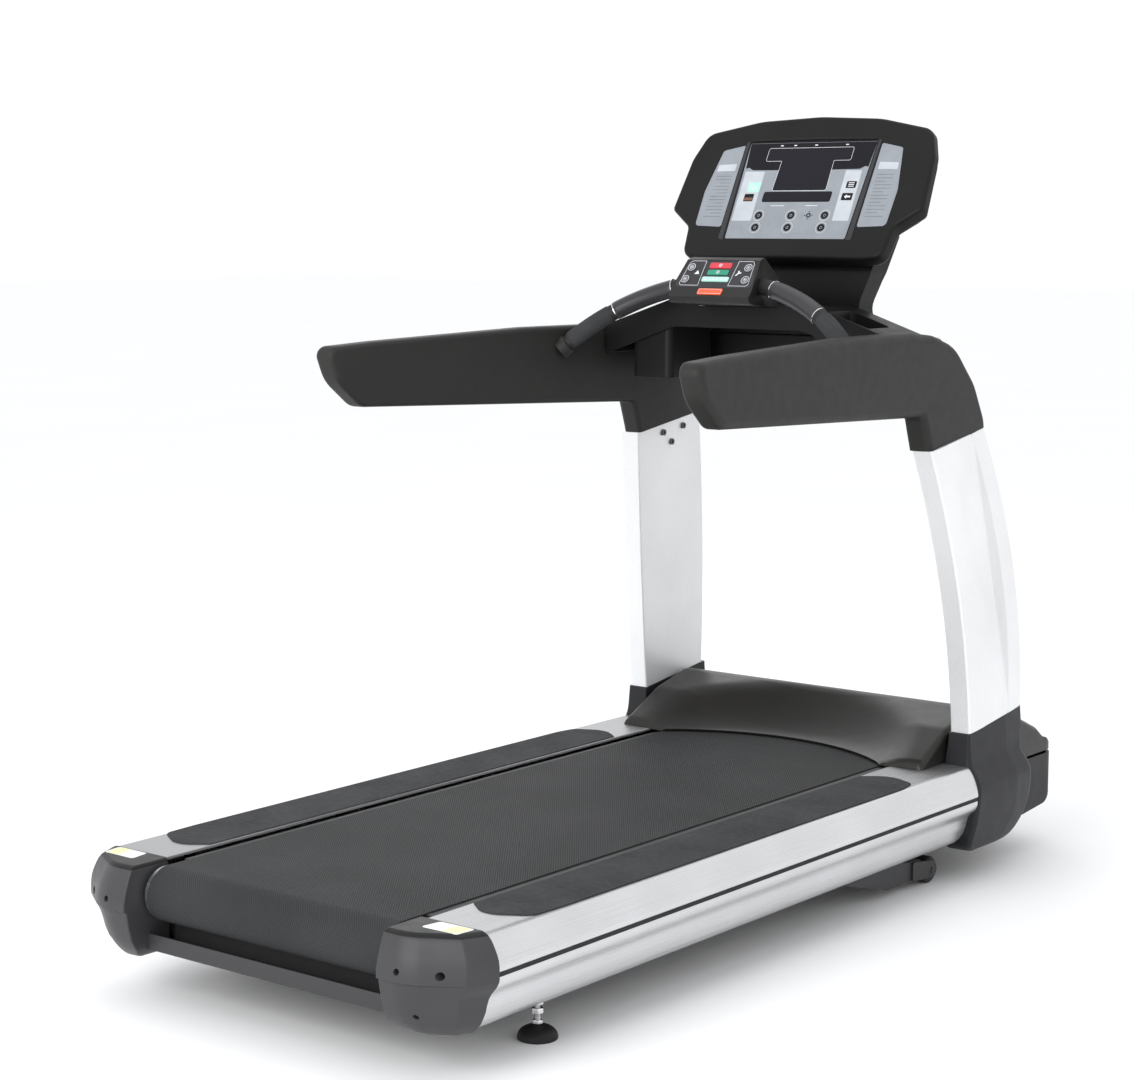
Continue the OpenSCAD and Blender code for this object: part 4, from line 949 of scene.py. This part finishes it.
for key, (u, v, w, h, r, slot) in KEYS.items():
    steps = [(-1.2, -8), (-1.2, -6), (0, -6), (0, KEY_UP - 0.9), (0.25, KEY_UP - 0.35), (0.9, KEY_UP),
             (3, KEY_UP + 0.1)]
    make(key + "_cap", slab(pad_loop(u, v, w, h, r), steps, on_activity), slot, key, [key], sharp=44)
    if r == ROUND:
        marks = [(pad_loop(u, v, w - 2.4, h, r), 0.8), (pad_loop(u, v, 9, h, r), 0.7),
                 arrow(u, v, 2.2, v > 40)]
    elif key == "stop_key":
        marks = [(pad_loop(u, v, 8, 8, ROUND), 0.9), pad_loop(u, v, 1.2, 5, 0.2)]
    elif key == "go_key":
        marks = [(pad_loop(u, v, 8, 8, ROUND), 0.8), [(u - 1.3, v - 1.9), (u + 2.1, v), (u - 1.3, v + 1.9)]]
    elif key == "cool_down_key":
        marks = [pad_loop(u + du, v + dv, 6, 1.2, 0.3)
                 for du in (-24, -14, -4, 6, 16, 25) for dv in (-1.8, 1.8)]
    else:
        marks = [(pad_loop(u, v, w - 4, h - 4, 2), 0.5)]
    top = KEY_UP + 0.02
    make(key + "_marks", inked(on_activity, top, top + INK_T, marks), PRINT, key)

frames = [(rounded([(s * 37, 7, 1), (s * 86, 7, 7), (s * 79.5, 69, 9), (s * 40, 69, 1)], 5), 0.8)
          for s in (1, -1)]
symbols = [arrow(-52, 39, 6, True), pad_loop(50, 43, 4, 4, ROUND),
           [(44, 33), (47, 32.5), (52, 38), (57, 38.5), (57, 41), (50, 41)]]
make("activity_print", inked(on_activity, 0, INK_T, frames + symbols), PRINT)

# --------------- bar between the handrails

BAR_TOP, BAR_BASE, BAR_REACH, BAR_R = (344, 1246), (253, 1103), 358, 17
rise = math.dist(BAR_TOP, BAR_BASE)
bend = (BAR_REACH ** 2 + rise ** 2) / (2 * rise)
tilt = math.atan2(BAR_TOP[1] - BAR_BASE[1], BAR_TOP[0] - BAR_BASE[0])


def bar_point(a, out=0.0):
    """Point on the bar's middle line, a degrees off its top, out millimetres away from its bend centre."""
    a = math.radians(a)
    down = (bend + out) * math.cos(a) - bend
    return ((bend + out) * math.sin(a), BAR_TOP[0] + down * math.cos(tilt),
            BAR_TOP[1] + down * math.sin(tilt))


def sleeve(a0, a1, r, lip, steps=40):
    """A sleeve round the bar from a0 to a1 degrees, a little thinner at its two ends."""
    path, radii = [], []
    for k in range(steps + 1):
        t = k / steps
        end = min(t, 1 - t) * steps
        path.append(bar_point(a0 + (a1 - a0) * t))
        radii.append(r - lip * max(0.0, 1 - end / 2) ** 2)
    return tube(path, radii)


bar = sleeve(11.6, 51.3, BAR_R, 0, 60)
collar = tube([bar_point(a) for a in (48.5, 48.9, 49.4, 51.3)],
              [BAR_R + 0.2, BAR_R + 4.2, BAR_R + 5, BAR_R + 5])
make("bar_pair", both(bar, collar), (ARM_BLACK, "grip_rubber"),
     stands_for=["ergo_bar"], sharp=40)
grip = sleeve(15.4, 33.2, BAR_R + 2, 1.9)
rear_grip = sleeve(34.6, 47.6, BAR_R + 1.6, 1.5)
make("bar_sensors", both(grip), "sensor_plate", stands_for=["grip_sensors"])
make("bar_sleeves", both(rear_grip), "grip_rubber")
rims = [tube([bar_point(a - 0.12), bar_point(a + 0.12)], [BAR_R + 2.3] * 2) for a in (15.6, 33.0)]
make("bar_sensor_rims", both(*rims), "zinc_steel")

# --------------- console

console_half = [(204, -12, 24), (250, -7, 26), (259, 64, 22), (315, 106, 12), (305, 230, 70),
                (282, 294, 36), (150, 323, 200)]
console_loop = dense(rounded([(0, -10, 0)] + console_half + [(0, 331, 300)]
                             + [(-x, y, r) for x, y, r in reversed(console_half)], 8), 16)
BEZEL_T, RECESS = 24, 2.5
bezel = slab(console_loop, [(6, -BEZEL_T), (2, -BEZEL_T), (0, -BEZEL_T + 2), (0, -9), (0.6, -5.5),
                            (2.2, -2.6), (4.6, -0.8), (8, 0)], on_console)


def grown(loop, d):
    return inset(loop, -d)


def mirror_loop(loop):
    return [(-x, y) for x, y in reversed(loop)]


overlay_loop = rounded(mirrored([(151, 34, 4), (160, 266, 4)]), 5)
side_loop = rounded([(170, 62, 6), (240, 65, 10), (243, 150, 40), (226, 250, 8), (172, 262, 4)], 6)
strip_loop = rounded([(155, 30, 2), (167, 34, 2), (169, 268, 3), (163, 270, 2)], 3)
sheet_loops = (overlay_loop, side_loop, mirror_loop(side_loop))
pockets = [slab(grown(loop, 0.2), [(0, -RECESS), (0, 6)], on_console) for loop in sheet_loops]
make("console_rim", cut(bezel, pockets, "bezel"), CONSOLE_LOOK, stands_for=["console_bezel"], sharp=40)

FACE = -RECESS + 1.5
sheets = [slab(loop, [(0, -RECESS), (0, FACE - 0.3), (0.3, FACE)], on_console) for loop in sheet_loops]
make("console_sheet", joined(sheets), "overlay_silver", stands_for=["console_overlay"])
strips = [slab(loop, [(0, -1.5), (0, 0.4), (1.2, 1.2)], on_console)
          for loop in (strip_loop, mirror_loop(strip_loop))]
make("console_strips", joined(strips), "panel_black")

# Heights of the first and the second layer of print.
ONE, TWO = FACE + 0.15, FACE + 0.4
dark_top = rounded([(-159, 265, 3), (-153, 203, 2), (-146, 207, 6), (-134, 200, 8), (-62, 199, 2),
                    (68, 199, 2), (136, 200, 8), (148, 207, 6), (155, 204, 2), (159.5, 265, 3)], 4)
tee = rounded(mirrored([(66, 151, 3), (64, 223, 3), (105, 223, 3), (105, 251, 3)]), 4)
line = rounded(mirrored([(83, 125, 2), (83, 144, 2)]), 4)
make("console_dark_field", inked(on_console, FACE - 0.1, ONE, [dark_top, grown(line, 3), grown(tee, 1.5)]),
     (INK_BLACK, "panel_black"))
make("console_windows", joined([slab(loop, [(0, ONE - 0.1), (0, ONE + 0.2), (0.3, ONE + 0.3)], on_console)
                                for loop in (tee, line)]), "display_smoke", stands_for=["display_window"])
white = [rounded([(u0, 77, 2), (u1, 77, 2), (u1 - 3, 196, 2), (u0 - 3, 197, 2)], 3)
         for u0, u1 in ((-148, -98), (106, 146))]
make("console_white_fields", inked(on_console, FACE - 0.1, ONE, white), (INK_PALE, "overlay_silver"))

ROUND_KEYS = [(u, v) for u in (-82, 0, 84) for v in (90, 61)]
high = [(grown(tee, 2.2), 0.8)] + [pad_loop(u, 259, 7, 2.4, 0.8) for u in (-77, -43, 10, 87)]
low = [(pad_loop(u, v, 26, 26, ROUND), 0.6) for u, v in ROUND_KEYS]
low += [pad_loop(u, 113, w, 1.2, 0.4) for u, w in ((-42, 34), (44, 30))]
make("console_light_print", joined([inked(on_console, ONE, ONE + 0.12, high),
                                    inked(on_console, FACE, FACE + 0.12, low)]), PRINT)

dark = []
for u, v in ROUND_KEYS:
    dark += [(pad_loop(u, v, 17.5, 17.5, ROUND), 5.2), arrow(u, v, 2.6, v > 75)]
dark += [(pad_loop(44, 90, 11, 11, ROUND), 2.6)]
dark += [[(44 + du, 90 + dv) for du, dv in tri]
         for tri in (((8, 1.6), (8, -1.6), (11, 0)), ((-8, -1.6), (-8, 1.6), (-11, 0)),
                     ((-1.6, 8), (1.6, 8), (0, 11)), ((1.6, -8), (-1.6, -8), (0, -11)))]
boxes = [pad_loop(127, 162.5, 24, 16, 2), pad_loop(125, 134, 26, 17, 2), pad_loop(-122, 133, 24, 18, 2)]
make("console_dark_keys", joined([inked(on_console, FACE, FACE + 0.35, dark),
                                  inked(on_console, ONE, TWO, boxes)]), (INK_BLACK, "key_grey"))
make("console_mint_key", inked(on_console, ONE, TWO, [pad_loop(-116, 158, 32, 24, 2)]), "key_mint")
make("console_brown_key", inked(on_console, TWO, TWO + 0.15, [pad_loop(-122, 129.5, 22, 7, 1.5)]),
     (INK_BROWN, "key_grey"))
light = [pad_loop(127, 162.5 + dv, 14, 1.6, 0.4) for dv in (-4, 0, 4)]
light += [[(118, 134), (124, 139), (124, 136), (133, 136), (133, 132), (124, 132), (124, 129)]]
light += [pad_loop(-116 + du, 158, 1.4, 14, 0.3) for du in (-8, -3, 2, 7)]
make("console_key_marks", inked(on_console, TWO, TWO + 0.15, light), PRINT)

heads, rules = [], []
for s in (1, -1):
    panel_head = rounded([(s * 180, 216, 2), (s * 226, 214, 2), (s * 227, 198, 2), (s * 180, 199, 2)], 3)
    heads.append(panel_head if area(panel_head) > 0 else panel_head[::-1])
    for i in range(13):
        v = 186 - 8.2 * i
        u0, u1 = 182, at_value([(85, 226), (190, 222)], v) - (14 if i % 3 == 2 else 0)
        rules.append(pad_loop(s * (u0 + u1) / 2, v, u1 - u0, 1.1, 0.3))
make("console_side_heads", inked(on_console, FACE, FACE + 0.12, heads), (INK_PALE, "overlay_silver"))
make("console_side_rules", inked(on_console, FACE, FACE + 0.12, rules), (INK_GREY, "overlay_silver"))

ledge = slab(rounded([(-157, 269, 2), (-157, 274, 2), (0, 276, 0), (156, 274, 2), (156, 269, 2),
                      (0, 271, 0)], 3), [(0, -1), (0, 2.2), (1.2, 3)], on_console)
make("console_ledge", ledge, CONSOLE_LOOK)


def scaled(loop, k):
    return [(x * k, 155 + (y - 155) * k) for x, y in loop]


back_steps = [(0.965, -BEZEL_T - 0.2), (0.965, -40), (0.96, -44), (0.945, -47), (0.905, -51), (0.896, -54),
              (0.89, -58), (0.883, -66), (0.86, -71), (0.83, -72)]
back = loft([[on_console(a, b, d) for a, b in scaled(console_loop, k)] for k, d in back_steps])
slots = [slab(rounded([(-90, v, 1.9), (90, v, 1.9), (90, v + 4, 1.9), (-90, v + 4, 1.9)], 3),
              [(0, -80), (0, -66)], on_console) for v in range(205, 268, 9)]
make("console_shell", cut(back, slots, "back"), CONSOLE_LOOK, stands_for=["console_back"], sharp=44)

# --------------- frame and the parts under the covers

refine("main_frame", "frame_steel", 1.2, 2)
refine("lift_frame", "frame_steel", 1.2, 2)
refine("rail_strips", "trim_rubber", 0.5, 1)
for side, s in SIDES:
    refine("lift_wheel_" + side, "wheel_nylon", 1, 2)

# CAD pieces that are shown as they are, with their slots.
KEPT = {
    "deck_board": "deck_board", "deck_cushions": "trim_rubber", "roller_axles": "bright_steel",
    "tension_bolts": "zinc_steel", "front_roller": "bright_steel", "rear_roller": "bright_steel",
    "drive_belt": "trim_rubber", "drive_motor": "motor_paint", "motor_rotor": "bright_steel",
    "motor_controller": "heatsink", "power_inlet": "inlet_plastic", "lift_motor": "motor_paint",
    "lift_screw_tube": "zinc_steel", "console_board": "board_green",
}
for node, slot in KEPT.items():
    obj = frame["nodes"][node]
    obj.data.materials.clear()
    obj.data.materials.append(FINISHES[slot])

# --------------- floor, lights and camera

floor_mat = Finish("pale_floor", 0.85, specular=0.2)
floor_mat.colour(floor_mat.blend(floor_mat.noise(900, 2), (0.955, 0.958, 0.962), (0.965, 0.967, 0.97)))
floor = linked("floor", bpy.data.meshes.new("floor"))
floor.data.from_pydata([(-40, -40, 0), (40, -40, 0), (40, 40, 0), (-40, 40, 0)], [], [(0, 1, 2, 3)])
floor.data.materials.append(floor_mat.mat)

world = bpy.data.worlds.new("studio")
bpy.context.scene.world = world
world.use_nodes = True
sky = world.node_tree.nodes["Background"].inputs
sky["Color"].default_value, sky["Strength"].default_value = (0.985, 0.99, 1.0, 1), 1.04
bpy.context.scene.view_settings.view_transform = "Standard"


def softbox(name, at, aim, size, power):
    data = bpy.data.lights.new(name, "AREA")
    data.shape, data.size, data.size_y, data.energy = "RECTANGLE", size[0], size[1], power
    lamp = linked(name, data)
    lamp.location = at
    lamp.rotation_mode = "QUATERNION"
    lamp.rotation_quaternion = (Vector(aim) - Vector(at)).to_track_quat("-Z", "Y")


softbox("key", (0.2, -4.2, 2.0), (0, 0, 0.5), (2.6, 2.6), 95)
softbox("fill", (4.2, 0.6, 2.6), (0, 0, 0.6), (2.6, 2.6), 4)
softbox("top", (0, 0.3, 4.2), (0, 0.2, 0), (3.2, 3.2), 12)
softbox("rim", (-2.6, 3.2, 2.8), (0, 0.4, 0.8), (2.2, 2.2), 14)

camera = linked("camera", bpy.data.cameras.new("camera"))
camera.data.lens, camera.data.sensor_width = 78.95, 36
camera.data.shift_x = 0.0024
camera.location = (2.9254, -3.8604, 1.3776)
camera.rotation_euler = (math.radians(90 - 7.397), 0, math.radians(38.543))
bpy.context.scene.camera = camera
